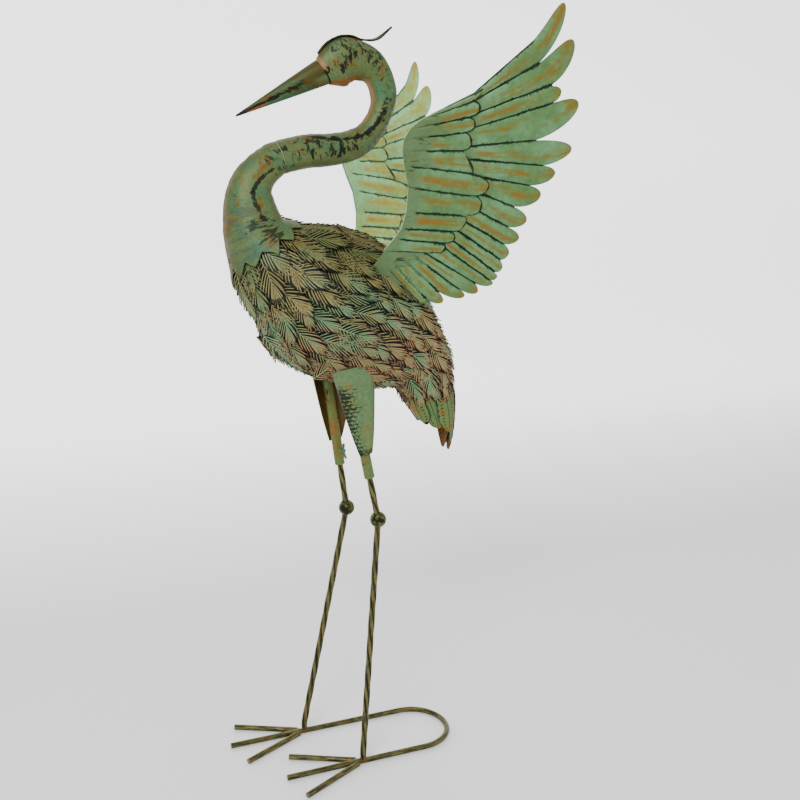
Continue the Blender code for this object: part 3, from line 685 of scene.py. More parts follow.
def makeLowerNeck():
    cols = shieldForm["tabs"] * shieldForm["perTab"]
    front, back, paint, edges = [], [], [], []
    ends = []
    for j in range(cols):
        tab = (j / shieldForm["perTab"] + 0.5) % 1
        off = abs(tab - 0.5) * 2
        number = j // shieldForm["perTab"]
        tip = shieldForm["tip"] - 0.10 * ((number * 7) % 3)
        ends.append(between(tip, shieldForm["notch"], max(0, (off - 0.1) / 0.9) ** 0.9))
    for i in range(shieldForm["rings"] + 1):
        share = i / shieldForm["rings"]
        outer, inner, marks, margin = [], [], [], []
        for j in range(cols):
            angle = math.tau * j / cols
            turn = angle if angle <= math.pi else angle - math.tau
            u = between(neckJoint + 0.03, ends[j], share)
            base = roundPoint(spine, u, turn)
            relief = neckRelief(base, u, turn) + 0.0012 * smooth(share, 0.9, 1.0) * abs(rough(base, 60))
            outer.append(roundPoint(spine, u, turn, relief))
            inner.append(roundPoint(spine, u, turn, relief - shieldForm["wall"]))
            marks.append(((u - neckJoint) * 0.027, turn / math.pi, u / 28))
            margin.append((ends[j] - u) * 0.030)
        front.append(outer)
        back.append(inner)
        paint.append(marks)
        edges.append(margin)
    return joinParts("lowerNeck", [sheetParts(front, back, paint, {"edge": edges}, closed=True)])


addPiece("lowerNeck", makeLowerNeck(), coatNeck("breastPatina", breastDabs, True), ["lower_neck"])
print("lower neck")


# Body: a dark shell under rows of fringed feathers.
tailLine = [(143, 553, 37, 36), (156.5, 515, 35.5, 35), (167, 478, 24, 28), (173, 434, 11, 18)]
bodyForm = {
    "rows": 13, "tailRing": 11, "first": 19.95, "last": 27.8, "across": 0.0285, "sink": 0.0050,
    "shellSink": 0.0085, "seed": 5, "sizeSpread": 0.14, "turnSpread": 0.32, "lift": 0.13,
}
featherForm = {
    "half": 0.0345, "width": 0.021, "barbs": 12, "barbWidth": 0.0021, "barbHeight": 0.0012, "bend": 0.085,
    "arch": 0.31, "seed": 3, "rib": 0.0022,
}


def makeFringeFeather():
    # Leaf with a rib and two combs of flat barbs. The rib lies along X and the tip is at +X.
    chance = random.Random(featherForm["seed"])
    points, faces, paint, shades = [], [], [], []
    half = featherForm["half"]

    def lift(x, y):
        return -y * y / (2 * featherForm["bend"]) - x * x / featherForm["arch"]

    def strip(stations, widths, heights, marks):
        # Flat-topped ridge over these places, open below.
        start = len(points)
        for k, (p, w, h, m) in enumerate(zip(stations, widths, heights, marks)):
            ahead = stations[min(k + 1, len(stations) - 1)]
            behind = stations[max(k - 1, 0)]
            run = (ahead - behind).normalized()
            cross = Vector((-run.y, run.x, 0)).normalized()
            for side, rise, shade in ((-0.5, 0, 1), (-0.30, 1, 0), (0.30, 1, 0), (0.5, 0, 1)):
                points.append(p + cross * side * w + Vector((0, 0, rise * h)))
                paint.append(m)
                shades.append(float(shade))
        faces.extend(faceGrid(len(stations), 4, start, flip=True))

    for side in (-1, 1):
        for i in range(featherForm["barbs"]):
            share = i / (featherForm["barbs"] - 1)
            x = between(-0.96, 0.60, share) * half
            length = 0.0225 + 0.0065 * math.sin(math.pi * min(1, share * 1.15)) - 0.0040 * share ** 3
            length *= chance.uniform(0.90, 1.10)
            angle = between(58, 13, share ** 0.85) + chance.uniform(-3, 3)
            flutter = chance.uniform(-0.0004, 0.0028)
            stations, widths, heights, marks = [], [], [], []
            at = Vector((x, 0, 0))
            for k in range(5):
                q = k / 4
                if k:
                    bearing = math.radians(angle * (1.15 - 0.50 * q))
                    at = at + Vector((math.cos(bearing), side * math.sin(bearing), 0)) * length / 4
                stations.append(Vector((at.x, at.y, lift(at.x, at.y) + flutter * q ** 3 + 0.0004)))
                widths.append(featherForm["barbWidth"] * (0.75 + 0.35 * q - 0.62 * q ** 3))
                heights.append(featherForm["barbHeight"] * (0.7 + 0.3 * q))
                marks.append((share, side * q, q))
            strip(stations, widths, heights, marks)
    rib = [Vector((between(-1.0, 0.95, k / 7) * half, 0, 0)) for k in range(8)]
    rib = [Vector((p.x, 0, lift(p.x, 0) + 0.0007)) for p in rib]
    ribWidths = [featherForm["rib"] * (1 - 0.6 * k / 7) for k in range(8)]
    strip(rib, ribWidths, [0.0011] * 8, [(k / 7, 0, 0.0) for k in range(8)])
    # The uncut middle of the leaf.
    start = len(points)
    for k in range(8):
        share = k / 7
        x = between(-1.0, 1.0, share) * half
        wide = featherForm["width"] * 0.62 * math.sin(math.pi * between(0.15, 0.95, share)) ** 0.7
        for side in (-1, 0, 1):
            points.append(Vector((x + abs(side) * wide * 0.8, side * wide, lift(x, side * wide)
                - 0.0001)))
            paint.append((share, side, 0.5))
            shades.append(1.6)
    faces.extend(faceGrid(8, 3, start, flip=True))
    return newMesh("fringeFeather", points, faces, {"paint": paint, "shade": shades})


def coatFeather():
    coat = Coat("featherPatina", 0.46, 0.25)
    tree = coat.tree
    shade = coat.value("shade")
    own = coat.value("tint")
    height = Signal(put(tree, "ShaderNodeSeparateXYZ", {0: coat.position}).outputs[2])
    wide = grain(coat.position, 15.0, 4.0, 0.6)
    mix = own * 0.45 + wide * 0.75
    colour = blend(band(mix, 0.44, 0.68), rgb(176, 168, 122), rgb(144, 176, 134))
    patch = band(grain(coat.position, 38.0, 5.0, 0.6), 0.50, 0.62)
    colour = dye(colour, patch * 0.45, 170, 138, 86)
    # Barb ends are salmon on many leaves and black on all. The back is darker and more olive.
    rosy = own * 0.35 + grain(coat.position, 22.0, 2.0)
    rosy = rosy + band(height, 0.70, 0.56)
    pink = band(coat.tint, 0.30, 0.75) * band(rosy, 0.95, 1.30)
    colour = dye(colour, pink * 0.50, 210, 142, 116)
    olive = band(height, 0.655, 0.72) * 0.62
    colour = dye(colour, olive, 118, 110, 62)
    fine = grain(coat.position, 240.0, 3.0)
    ends = coat.tint + fine * 0.6
    colour = dye(colour, band(ends, 1.12, 1.26) * 0.9, 24, 26, 20)
    stain = band(grain(coat.position, 60.0, 5.0, 0.7), 0.58, 0.66)
    colour = dye(colour, stain * 0.75, 36, 38, 28)
    colour = dye(colour, band(shade, 0.25, 0.85), 24, 27, 19)
    return coat.finish(colour, fine, 0.3)


def coatShell():
    coat = Coat("shellPatina", 0.6, 0.4)
    ground = weathered(coat.position, 60.0, (58, 60, 40), (38, 42, 28), (88, 70, 44), 0.4)
    return coat.finish(ground["Colour"], ground["Grain"], 0.4)


def makeShell():
    rings, paint = [], []
    us = [between(19.4, rump - 0.3, i / 40) for i in range(41)]
    for u in us:
        ring, marks = [], []
        for j in range(64):
            angle = math.tau * j / 64
            ring.append(roundPoint(spine, u, angle, -bodyForm["shellSink"]))
            marks.append((u * 0.03, angle, 0.5))
        rings.append(ring)
        paint.append(marks)
    for u, inset in ((0.05, 0.016), (0.6, 0.016)):
        rings.append([roundPoint(tailLine, u, math.tau * j / 64, -inset) for j in range(64)])
        paint.append(paint[-1])
    return roundMesh("bodyShell", rings, paint)


def featherSeat(line, u, angle, heading, sink, chance):
    # Place, turn and size of one leaf. Heading 0 points down the line and grows towards the back.
    centre, travel, back, depth, width = section(line, u)
    # Leaves lie flattest along the top of the back and under the belly.
    flank = abs(math.sin(angle))
    sink += 0.0022 * (1 - flank)
    spot = roundPoint(line, u, angle, -sink)
    run = (roundPoint(line, u + 0.25, angle, -sink) - roundPoint(line, u - 0.25, angle, -sink))
    if run.dot(travel) < 0.3 * run.length:
        run = travel
    run.normalize()
    # On the shoulders no leaf points up.
    if run.z > -0.1 and u < 23.5 and abs(math.remainder(angle, math.tau)) < 1.7:
        run = (run + Vector((0.3, 0, -0.5))).normalized()
    square = back * math.cos(angle) / depth + Vector((0, math.sin(angle) / width, 0))
    square = (square - run * square.dot(run)).normalized()
    # The root is tucked in and the tip stands off a little.
    # Round the breast they follow the turn of the body instead.
    turnIn = smooth(abs(math.remainder(angle, math.tau)), 2.0, 2.6) if square.x < -0.6 else 0
    lift = bodyForm["lift"] * (0.25 + 0.75 * flank) - 0.10 * turnIn
    run = (run + square * lift).normalized()
    square = (square - run * square.dot(run)).normalized()
    cross = square.cross(run)
    spin = heading + chance.uniform(-1, 1) * bodyForm["turnSpread"]
    run = run * math.cos(spin) + cross * math.sin(spin)
    turn = Matrix((run, square.cross(run), square)).transposed().to_euler()
    size = 1 + chance.uniform(-1, 1) * bodyForm["sizeSpread"]
    return spot + square * chance.uniform(-0.0006, 0.0008), tuple(turn), size


def featherSeats():
    chance = random.Random(bodyForm["seed"])
    seats = []
    dense = [between(bodyForm["first"], bodyForm["last"], i / 200) for i in range(201)]
    runs = lengthsAlong(spine, dense)
    rows = bodyForm["rows"]
    for row in range(rows):
        goal = runs[-1] * row / (rows - 1)
        u = min(zip(runs, dense), key=lambda pair: abs(pair[0] - goal))[1]
        centre, travel, back, depth, width = section(spine, u)
        girth = math.pi * (3 * (depth + width) - math.sqrt((3 * depth + width) * (depth + 3 * width)))
        count = max(7, round(girth / bodyForm["across"]))
        for n in range(count):
            angle = math.tau * (n + 0.5 * (row % 2) + chance.uniform(-0.12, 0.12)) / count
            fromBack = abs(math.remainder(angle, math.tau))
            if u < 20.6 and fromBack < 0.5:
                continue
            seats.append(featherSeat(spine, u, angle, 0.0, bodyForm["sink"], chance))
    # A few more leaves hang over the top of each thigh.
    for side in (-1, 1):
        for u, angle, heading in ((24.1, 106, 0.1), (24.45, 113, 0.1), (24.85, 106, 0.1)):
            seats.append(featherSeat(spine, u, side * math.radians(angle), side * heading, -0.001,
                chance))
    # One ring of leaves covers the roots of the tail.
    for n in range(bodyForm["tailRing"]):
        angle = math.tau * (n + chance.uniform(-0.1, 0.1)) / bodyForm["tailRing"]
        seats.append(featherSeat(tailLine, 0.06, angle, 0.0, -0.0012, chance))
    return newMesh("featherSeats", [s[0] for s in seats], [],
        {"turn": [s[1] for s in seats], "size": [s[2] for s in seats]})


def makeScatter():
    # Puts an object on every point of a mesh, with its stored turn and size, a random tint and a
    # material.
    tree = bpy.data.node_groups.new("scatterFeathers", "GeometryNodeTree")
    tree.interface.new_socket("Geometry", in_out="INPUT", socket_type="NodeSocketGeometry")
    tree.interface.new_socket("Feather", in_out="INPUT", socket_type="NodeSocketObject")
    tree.interface.new_socket("Feather Coat", in_out="INPUT", socket_type="NodeSocketMaterial")
    tree.interface.new_socket("Seed", in_out="INPUT", socket_type="NodeSocketInt")
    tree.interface.new_socket("Geometry", in_out="OUTPUT", socket_type="NodeSocketGeometry")
    given = put(tree, "NodeGroupInput").outputs
    leaf = Signal(put(tree, "GeometryNodeObjectInfo", {"Object": given["Feather"]}).outputs["Geometry"])
    turn = put(tree, "GeometryNodeInputNamedAttribute", {"Name": "turn"}, data_type="FLOAT_VECTOR")
    size = put(tree, "GeometryNodeInputNamedAttribute", {"Name": "size"}, data_type="FLOAT")
    spots = Signal(put(tree, "GeometryNodeMeshToPoints", {"Mesh": given["Geometry"]}).outputs[0])
    copies = Signal(put(tree, "GeometryNodeInstanceOnPoints",
        {"Points": spots, "Instance": leaf, "Rotation": turn.outputs["Attribute"],
        "Scale": size.outputs["Attribute"]}).outputs[0])
    chance = put(tree, "FunctionNodeRandomValue", {"Seed": given["Seed"]}, data_type="FLOAT")
    tinted = Signal(put(tree, "GeometryNodeStoreNamedAttribute",
        {"Geometry": copies, "Name": "tint", "Value": chance.outputs[1]}, data_type="FLOAT",
        domain="INSTANCE").outputs[0])
    real = Signal(put(tree, "GeometryNodeRealizeInstances", {"Geometry": tinted}).outputs[0])
    coated = put(tree, "GeometryNodeSetMaterial", {"Geometry": real, "Material": given["Feather Coat"]})
    out = put(tree, "NodeGroupOutput").inputs
    feed(coated.outputs[0], out[0])
    return tree


def scatterMesh(tree, seats, feather, coatMaterial, seed):
    holder = bpy.data.objects.new("holder", seats)
    attach(holder)
    modifier = holder.modifiers.new("scatter", "NODES")
    modifier.node_group = tree
    values = {"Feather": feather, "Feather Coat": coatMaterial, "Seed": seed}
    for item in tree.interface.items_tree:
        if item.in_out == "INPUT" and item.name in values:
            modifier[item.identifier] = values[item.name]
    bpy.context.view_layer.update()
    graph = bpy.context.evaluated_depsgraph_get()
    mesh = bpy.data.meshes.new_from_object(holder.evaluated_get(graph))
    bpy.data.objects.remove(holder)
    return mesh


# Tail: its line and where each feather lies round it.
tailForm = {
    "angles": [0, 38, -38, 76, -76, 114, -114, 150, -150],
    "tips": [2.95, 2.9, 2.75, 2.3, 2.2, 2.1, 2.0, 1.75, 1.65], "inner": (1, 2, 5, 6), "root": 0.02,
    "half": 0.0165, "sheet": 0.0012, "layer": 0.0024, "rows": 46, "cols": 15,
}


def makeBody():
    leaf = bpy.data.objects.new("leaf", makeFringeFeather())
    attach(leaf)
    tree = makeScatter()
    leaves = scatterMesh(tree, featherSeats(), leaf, coatFeather(), 7)
    bpy.data.objects.remove(leaf)
    shell = bpy.data.objects.new("shell", makeShell())
    shell.data.materials.append(coatShell())
    leafy = bpy.data.objects.new("leafy", leaves)
    for part in (shell, leafy):
        attach(part)
    with bpy.context.temp_override(active_object=leafy, selected_editable_objects=[leafy, shell]):
        bpy.ops.object.join()
    mesh = leafy.data
    bpy.data.objects.remove(leafy)
    return mesh


bodyMesh = makeBody()
print("body leaves", len(bodyMesh.polygons))
addPiece("body", bodyMesh, None, ["body"], 35)
print("body")


def makeTailFeather(number):
    middle = math.radians(tailForm["angles"][number])
    tip = tailForm["tips"][number]
    inset = tailForm["layer"] if number in tailForm["inner"] else 0
    front, back, paint, edges = [], [], [], []
    rows, cols = tailForm["rows"], tailForm["cols"]
    for i in range(rows + 1):
        share = 1 - (1 - i / rows) ** 1.4
        u = between(tailForm["root"], tip, share)
        radius = section(tailLine, u)[3]
        taper = math.sqrt(max(0.0, 1 - max(0, (share - 0.62) / 0.38) ** 2.2))
        arc = min(tailForm["half"] / radius, math.radians(35)) * max(taper, 0.02)
        outer, inner, marks, margin = [], [], [], []
        for j in range(cols):
            t = 2 * j / (cols - 1) - 1
            angle = middle + arc * t
            rib = 0.0007 * math.exp(-(t / 0.10) ** 2) + 0.0005 * (1 - t * t)
            wave = 0.0003 * math.sin(share * 70) * abs(t)
            outer.append(roundPoint(tailLine, u, angle, rib + wave - inset + tailForm["sheet"] / 2
                - 0.0006))
            inner.append(roundPoint(tailLine, u, angle, rib + wave - inset - tailForm["sheet"] / 2
                - 0.0006))
            marks.append((share * tip * 0.042, t, (number * 0.37) % 1))
            margin.append((1 - abs(t)) * arc * radius)
        front.append(outer[::-1])
        back.append(inner[::-1])
        paint.append(marks[::-1])
        edges.append(margin[::-1])
    return joinParts("tailFeather", [sheetParts(front, back, paint, {"edge": edges})])


def coatTail():
    coat = Coat("tailPatina", 0.5, 0.4)
    ground = weathered(coat.position, 30.0, (126, 134, 78), (108, 140, 92), (158, 114, 52), 0.6)
    colour = ground["Colour"]
    inner = coat.value("inner")
    colour = dye(colour, inner * 0.8, 132, 84, 52)
    off = abs(coat.across)
    # Rows of dark dots beside the rib and along the edge.
    beat = abs(calc("FRACT", coat.run * 170.0) - 0.5)
    lane = abs(off - 0.55)
    dots = band(beat, 0.24, 0.12) * band(lane, 0.14, 0.06)
    colour = dye(colour, dots * 0.85, 26, 30, 24)
    ribs = band(off, 0.06, 0.03)
    colour = dye(colour, ribs * 0.7, 40, 42, 30)
    mask = useGroup(hairLine, {"Edge": coat.value("edge"), "Run": coat.run, "Seed": coat.tint,
        "Width": 0.0005, "Reach": 0.0012})["Mask"]
    colour = dye(colour, mask * 0.85, 30, 30, 22)
    return coat.finish(colour, ground["Grain"], 0.35)


tailCoat = coatTail()
for number in range(9):
    label = str(number + 1)
    addPiece("tailFeather" + label, makeTailFeather(number), tailCoat, ["tail_feather_" + label])
print("tail")


# Wings: drawn places of the feathers' tips, gaps and grooves, in millimetres.
wingForm = {
    "offset": 99, "backFlare": 0.283, "upFlare": 0.364, "level": 850,
    "tips": [(221, 1013), (239, 976), (235, 925), (261, 910), (266, 856), (252, 828), (240, 802),
        (229, 768), (224, 746), (215, 728), (210, 710), (205, 698), (202, 687), (184, 675), (168, 670),
        (141, 662), (115, 661)],
    "gaps": [(194, 973), (206, 950), (227, 928), (231, 907), (220, 865), (235, 836), (224, 812),
        (209, 786), (206, 761), (205, 739), (206, 718), (202, 702), (197, 691), (180, 686), (158, 680),
        (133, 676), (118, 667), (109, 663)],
    "grooves": [(0, 141, 914), (1, 152, 911), (4, 144, 849), (5, 149, 835), (6, 174, 811), (7, 177, 793),
        (9, 153, 760), (12, 132, 730), (13, 100, 725), (16, 64, 713), (17, 60, 703)],
    "covertTips": [(147, 923), (148, 902), (145, 884), (144, 866), (146, 841), (174, 809), (170, 786),
        (152, 763), (143, 747), (133, 732)],
    "covertPeak": (141, 919), "covertHeel": (127, 727), "covertGap": 9,
    "front": [(57, 731), (70, 750), (77, 767), (78, 802), (68, 836), (64, 855), (66, 871), (78, 885),
        (97, 896)],
    "plate": [(72, 752), (47, 712), (36, 702), (66, 671), (83, 687), (108, 666), (120, 690), (105, 740)],
    "sheet": 0.0012, "camber": 0.0019, "covertCamber": 0.0014, "covertStep": 0.0020, "rootRows": 26,
    "freeRows": 18, "cols": 15, "shoulder": 0.36,
}


def wingSquare(side):
    return Vector((-wingForm["backFlare"], side, -wingForm["upFlare"])).normalized()


def wingPoint(x, z, side, proud=0.0):
    out = wingForm["offset"] + wingForm["backFlare"] * x + wingForm["upFlare"] * (z - wingForm["level"])
    return place(x, z, out * side / 1000) + wingSquare(side) * proud


def grooveStart(number):
    for (n0, x0, z0), (n1, x1, z1) in zip(wingForm["grooves"], wingForm["grooves"][1:]):
        if n0 <= number <= n1:
            share = (number - n0) / (n1 - n0)
            return Vector((between(x0, x1, share), between(z0, z1, share)))


def featherParts(starts, ends, tips, side, camber, step, cover, seed):
    # Each feather is a formed strip between two grooves with a free rounded end.
    chance = random.Random(seed)
    parts = []
    cols = wingForm["cols"]
    for i, tip in enumerate(tips):
        a0, a1, b0, b1 = starts[i], ends[i], starts[i + 1], ends[i + 1]
        foot = (a1 + b1) / 2
        run = (tip - foot).normalized()
        across = Vector((-run.y, run.x))
        if across.dot(a1 - b1) < 0:
            across = -across
        rootRun = ((a1 + b1) - (a0 + b0)).normalized()
        knot = foot + (rootRun + run * 0.6).normalized() * (tip - foot).length * 0.42
        first = (knot - foot).normalized()
        first = Vector((-first.y, first.x))
        if first.dot(a1 - b1) < 0:
            first = -first
        half = abs((a1 - b1).dot(first)) / 2
        tint = chance.random()
        bias = 0.00012 * (i % 3)
        front, back, paint, edges, frees = [], [], [], [], []
        lengthRoot = ((a1 + b1) / 2 - (a0 + b0) / 2).length / 1000
        lengthFree = (tip - foot).length / 1000
        for k in range(wingForm["rootRows"] + wingForm["freeRows"] + 1):
            if k <= wingForm["rootRows"]:
                s = k / wingForm["rootRows"]
                left = between(a0, a1, s)
                right = between(b0, b1, s)
                free = s
                reach = s * lengthRoot
            else:
                q = (k - wingForm["rootRows"]) / wingForm["freeRows"]
                q = 1 - (1 - q) ** 1.6
                middle = foot * (1 - q) ** 2 + knot * 2 * q * (1 - q) + tip * q * q
                travel = ((knot - foot) * (1 - q) + (tip - knot) * q).normalized()
                across = Vector((-travel.y, travel.x))
                if across.dot(a1 - b1) < 0:
                    across = -across
                breadth = math.sqrt(max(0.0, 1 - q ** 2.1))
                left = middle + across * half * breadth + (a1 - foot - first * half) * (1 - q) ** 2
                right = middle - across * half * breadth + (b1 - foot + first * half) * (1 - q) ** 2
                free = 1 + q
                reach = lengthRoot + q * lengthFree
            wide = (left - right).length / 2000
            outer, inner, marks, margin, share = [], [], [], [], []
            for j in range(cols):
                t = 1 - 2 * j / (cols - 1)
                point = between(left, right, (1 - t) / 2)
                rise = smooth(free, 0.0, 0.25)
                dome = camber * (1.5 if i == 0 and not cover else 1) * (1 - abs(t) ** 2.2) * rise
                dome *= 1 - 0.55 * smooth(free, 1.2, 2.0)
                groove = -0.0005 * math.exp(-((1 - abs(t)) / 0.12) ** 2) * rise
                groove *= 1 - smooth(free, 1.0, 1.15)
                lump = 0.00012 * rough((point.x, point.y, 0), 0.09)
                proud = dome + groove + lump + bias
                outer.append(wingPoint(point.x, point.y, side, proud + wingForm["sheet"] / 2 + step))
                inner.append(wingPoint(point.x, point.y, side, proud - wingForm["sheet"] / 2 - step))
                marks.append((reach, t, tint))
                toTip = max(0, 2 - free) * lengthFree + 0.00002 if free > 1 else 1
                margin.append(min((1 - abs(t)) * wide, toTip))
                share.append(free)
            if side > 0:
                for cells in (outer, inner, marks, margin, share):
                    cells.reverse()
            front.append(outer)
            back.append(inner)
            paint.append(marks)
            edges.append(margin)
            frees.append(share)
        covered = [[cover] * cols for row in front]
        begin = wingForm["shoulder"] if cover and 1 <= i <= 4 else 0.05 + 0.16 * chance.random()
        begins = [[begin] * cols for row in front]
        parts.append(sheetParts(front, back, paint, {"edge": edges, "free": frees, "cover": covered,
            "begin": begins}))
    return parts


def platePart(side):
    outline = wingForm["plate"] if side < 0 else wingForm["plate"][::-1]
    count = len(outline)
    points = [wingPoint(x, z, side, wingForm["sheet"] / 2 + 0.0003) for x, z in outline]
    points += [wingPoint(x, z, side, -wingForm["sheet"] / 2 - 0.0003) for x, z in outline]
    faces = [tuple(range(count)), tuple(range(count, 2 * count))[::-1]]
    for j in range(count):
        n = (j + 1) % count
        faces.append((n, j, count + j, count + n))
    marks = {"paint": [(0.0, 0.0, 0.4)] * (2 * count), "edge": [0.02] * (2 * count),
        "free": [0.0] * (2 * count), "cover": [0.0] * (2 * count), "begin": [0.5] * (2 * count),
        "inner": [0.0] * count + [1.0] * count}
    return points, faces, marks


def makeWing(side):
    tips = [Vector(p) for p in wingForm["tips"]]
    frontRows = wingForm["front"]
    starts = []
    for number in range(len(tips) + 1):
        groove = grooveStart(number)
        edge = Vector(along(frontRows, (len(frontRows) - 1) * (1 - number / len(tips)))[0])
        starts.append(between(groove, edge, 0.3))
    ends = [Vector(p) for p in wingForm["gaps"]]
    parts = featherParts(starts, ends, tips, side, wingForm["camber"], 0, 0.0, 11)
    covertTips = [Vector(p) for p in wingForm["covertTips"]]
    covertStarts = []
    for number in range(len(covertTips) + 1):
        u = (len(frontRows) - 1) * (1 - number / len(covertTips))
        covertStarts.append(Vector(along(frontRows, u)[0]))
    covertEnds = [Vector(wingForm["covertPeak"])]
    for i in range(len(covertTips) - 1):
        middle = (covertTips[i] + covertTips[i + 1]) / 2
        covertEnds.append(middle + (covertStarts[i + 1] - middle).normalized() * wingForm["covertGap"])
    covertEnds.append(Vector(wingForm["covertHeel"]))
    parts += featherParts(covertStarts, covertEnds, covertTips, side, wingForm["covertCamber"],
        wingForm["covertStep"], 1.0, 23)
    parts.append(platePart(side))
    return joinParts("wing", parts)


def coatWing():
    coat = Coat("wingPatinaAndLight", 0.5, 0.2)
    tree = coat.tree
    inner = coat.value("inner")
    edge = coat.value("edge")
    free = coat.value("free")
    cover = coat.value("cover")
    # The inner face gets a much paler copy of the outer palette: partly its own paler paint, partly
    # painted light, as on the far wing it is the lit upper face.
    outside = weathered(coat.position, 15.0, (122, 170, 122), (102, 142, 92), (128, 132, 74), 0.40)
    inside = weathered(coat.position, 15.0, (186, 246, 184), (188, 228, 150), (214, 206, 118), 0.42)
    colour = blend(inner, outside["Colour"], inside["Colour"])
    where = combine(coat.run * 17.0, coat.across * 1.1, coat.tint * 40.0)
    # Ochre along the middle of each feather, redder at its core.
    shift = (coat.tint - 0.4) * 0.45
    off = abs(coat.across + shift)
    smear = grain(where, 1.0, 5.0, 0.6)
    worn = grain(coat.position, 130.0, 4.0, 0.6)
    soft = smear + (worn - 0.5) * 0.35
    begun = band(free, coat.value("begin"), coat.value("begin") + 0.2)
    core = band(off, 0.68, 0.16) * band(soft, 0.36, 0.56)
    core = core * begun
    core = core * (0.86 - inner * 0.16)
    # The paler tones for the inner face here and below are partly painted light.
    colour = blend(core, colour, blend(inner, rgb(132, 118, 54), rgb(222, 190, 84)))
    red = band(off, 0.34, 0.08) * band(soft, 0.50, 0.64)
    red = red * begun
    colour = blend(red * 0.55, colour, blend(inner, rgb(166, 98, 56), rgb(204, 148, 82)))
    tipRust = band(free, 1.50, 1.95) * band(smear, 0.28, 0.50)
    colour = blend(tipRust * 0.7, colour, blend(inner, rgb(140, 116, 46), rgb(212, 176, 90)))
    # Plain grey-green shoulder with a few dark scratches.
    shoulder = (1.0 - begun) * (1.0 - inner)
    colour = dye(colour, shoulder * 0.7, 104, 122, 84)
    slope = Signal(put(tree, "ShaderNodeMapping", {"Vector": coat.position, "Rotation": (0, 0.7, 0),
        "Scale": (60.0, 20.0, 330.0)}).outputs[0])
    scratch = band(grain(slope, 1.0, 3.0, 0.6), 0.60, 0.66) * shoulder
    colour = dye(colour, scratch * 0.8, 30, 36, 28)
    bold = band(free, 0.92, 1.08) * (cover * 0.0008)
    bold = bold + 0.00062
    hairs = useGroup(hairLine, {"Edge": edge, "Run": coat.run, "Seed": coat.tint * 31.0, "Width": bold,
        "Reach": 0.0011})["Mask"]
    start = coat.value("begin")
    shown = band(free, start, start + 0.06) * band(free, 1.10 + cover, 1.02 + cover)
    line = hairs * shown
    rim = band(edge, 0.0009, 0.0002) * band(free, 0.98, 1.05)
    dark = calc("MAXIMUM", line, rim * 0.75)
    # Painted light: the dark lines are grey on the lit inner face.
    colour = blend(dark * 0.95, colour, blend(inner, rgb(14, 24, 16), rgb(64, 74, 64)))
    return coat.finish(colour, outside["Grain"], 0.3)


wingCoat = coatWing()
for side, word in ((-1, "Left"), (1, "Right")):
    addPiece("wing" + word, makeWing(side), wingCoat, ["wing_" + word.lower()], 60)
print("wings")


# Legs: hip, socket mouth and knee as drawn, and the feet.
legForm = {
    "hipSpread": 0.036, "kneeSpread": 0.034, "step": 0.0576, "foot": 0.054, "ball": 0.023, "bore": 0.004,
    "rod": 0.0095, "wall": 0.0022, "fit": 0.0003, "sink": 0.016, "rodInSocket": 0.045,
    "left": ((19, 566), 419, (61, 356)), "right": ((10, 556), 423, (37, 356)), "pitch": 0.15,
    "lobes": 0.15,
}
thighForm = {
    "reach": 0.030, "depth": 0.015, "rear": 0.009, "topWrap": 105, "footWrap": 50, "sink": 0.010,
    "fromMouth": 0.035, "sheet": 0.0012, "flare": 0.003, "rows": 50, "cols": 41,
}
screwForm = {
    "shank": 0.0056, "length": 0.009, "span": 0.024, "height": 0.007, "thickness": 0.0026,
    "fromMouth": 0.022, "turn": 16,
}


def footPlace(side):
    return Vector((-side * legForm["step"] / 2 + originShift, side * legForm["foot"], 0))


def legPoints(side):
    hip, mouthZ, knee = legForm["left" if side < 0 else "right"]
    knee = place(knee[0], knee[1], side * legForm["kneeSpread"])
    hip = place(hip[0], hip[1], side * legForm["hipSpread"])
    share = (hip.z - mouthZ / 1000 - rodFlat) / (hip.z - knee.z)
    return hip, between(hip, knee, share), knee, footPlace(side)


def roundedPath(points, radius, steps=6):
    # Path with its inner corners rounded.
    path = [points[0]]
    for a, b, c in zip(points, points[1:], points[2:]):
        start = b + (a - b).normalized() * min(radius, (a - b).length / 2)
        end = b + (c - b).normalized() * min(radius, (c - b).length / 2)
        for i in range(steps + 1):
            t = i / steps
            path.append(start * (1 - t) ** 2 + b * 2 * t * (1 - t) + end * t * t)
    path.append(points[-1])
    return path


def twistedOutline(run, angle, p):
    turn = angle + math.tau * run / legForm["pitch"]
    lobe = (1 - math.cos(4 * turn)) / 2
    return legForm["rod"] / 2 * (1 - legForm["lobes"] * lobe ** 1.5 + 0.015 * rough(p, 220))


def coatRod(name, twisted):
    coat = Coat(name, 0.42, 0.55)
    tree = coat.tree
    ground = weathered(coat.position, 60.0, (132, 122, 76), (100, 102, 66), (146, 110, 62), 0.45)
    colour = ground["Colour"]
    turned = coat.across
    if twisted:
        turned = coat.across + coat.run * (2 / legForm["pitch"])
    # Four dark furrows, or loose streaks on the plain rods.
    phase = abs(calc("FRACT", turned * 2.0) - 0.5)
    where = combine(coat.run * 45.0, turned * 7.0, coat.tint)
    streak = grain(where, 1.0, 5.0, 0.65)
    if twisted:
        loose = (streak - 0.5) * 1.1
        furrow = band(phase + loose, 0.25, 0.13)
        colour = dye(colour, furrow * 0.93, 18, 20, 14)
    dark = band(streak, 0.56 if twisted else 0.47, 0.66 if twisted else 0.58)
    colour = dye(colour, dark * 0.85, 30, 32, 24)
    other = Signal(put(tree, "ShaderNodeVectorMath", {0: where, 1: (7.0, 3.0, 1.0)},
        operation="ADD").outputs[0])
    teal = band(grain(other, 0.8, 4.0), 0.60, 0.72)
    colour = dye(colour, teal * 0.75, 84, 122, 96)
    return coat.finish(colour, ground["Grain"], 0.4)


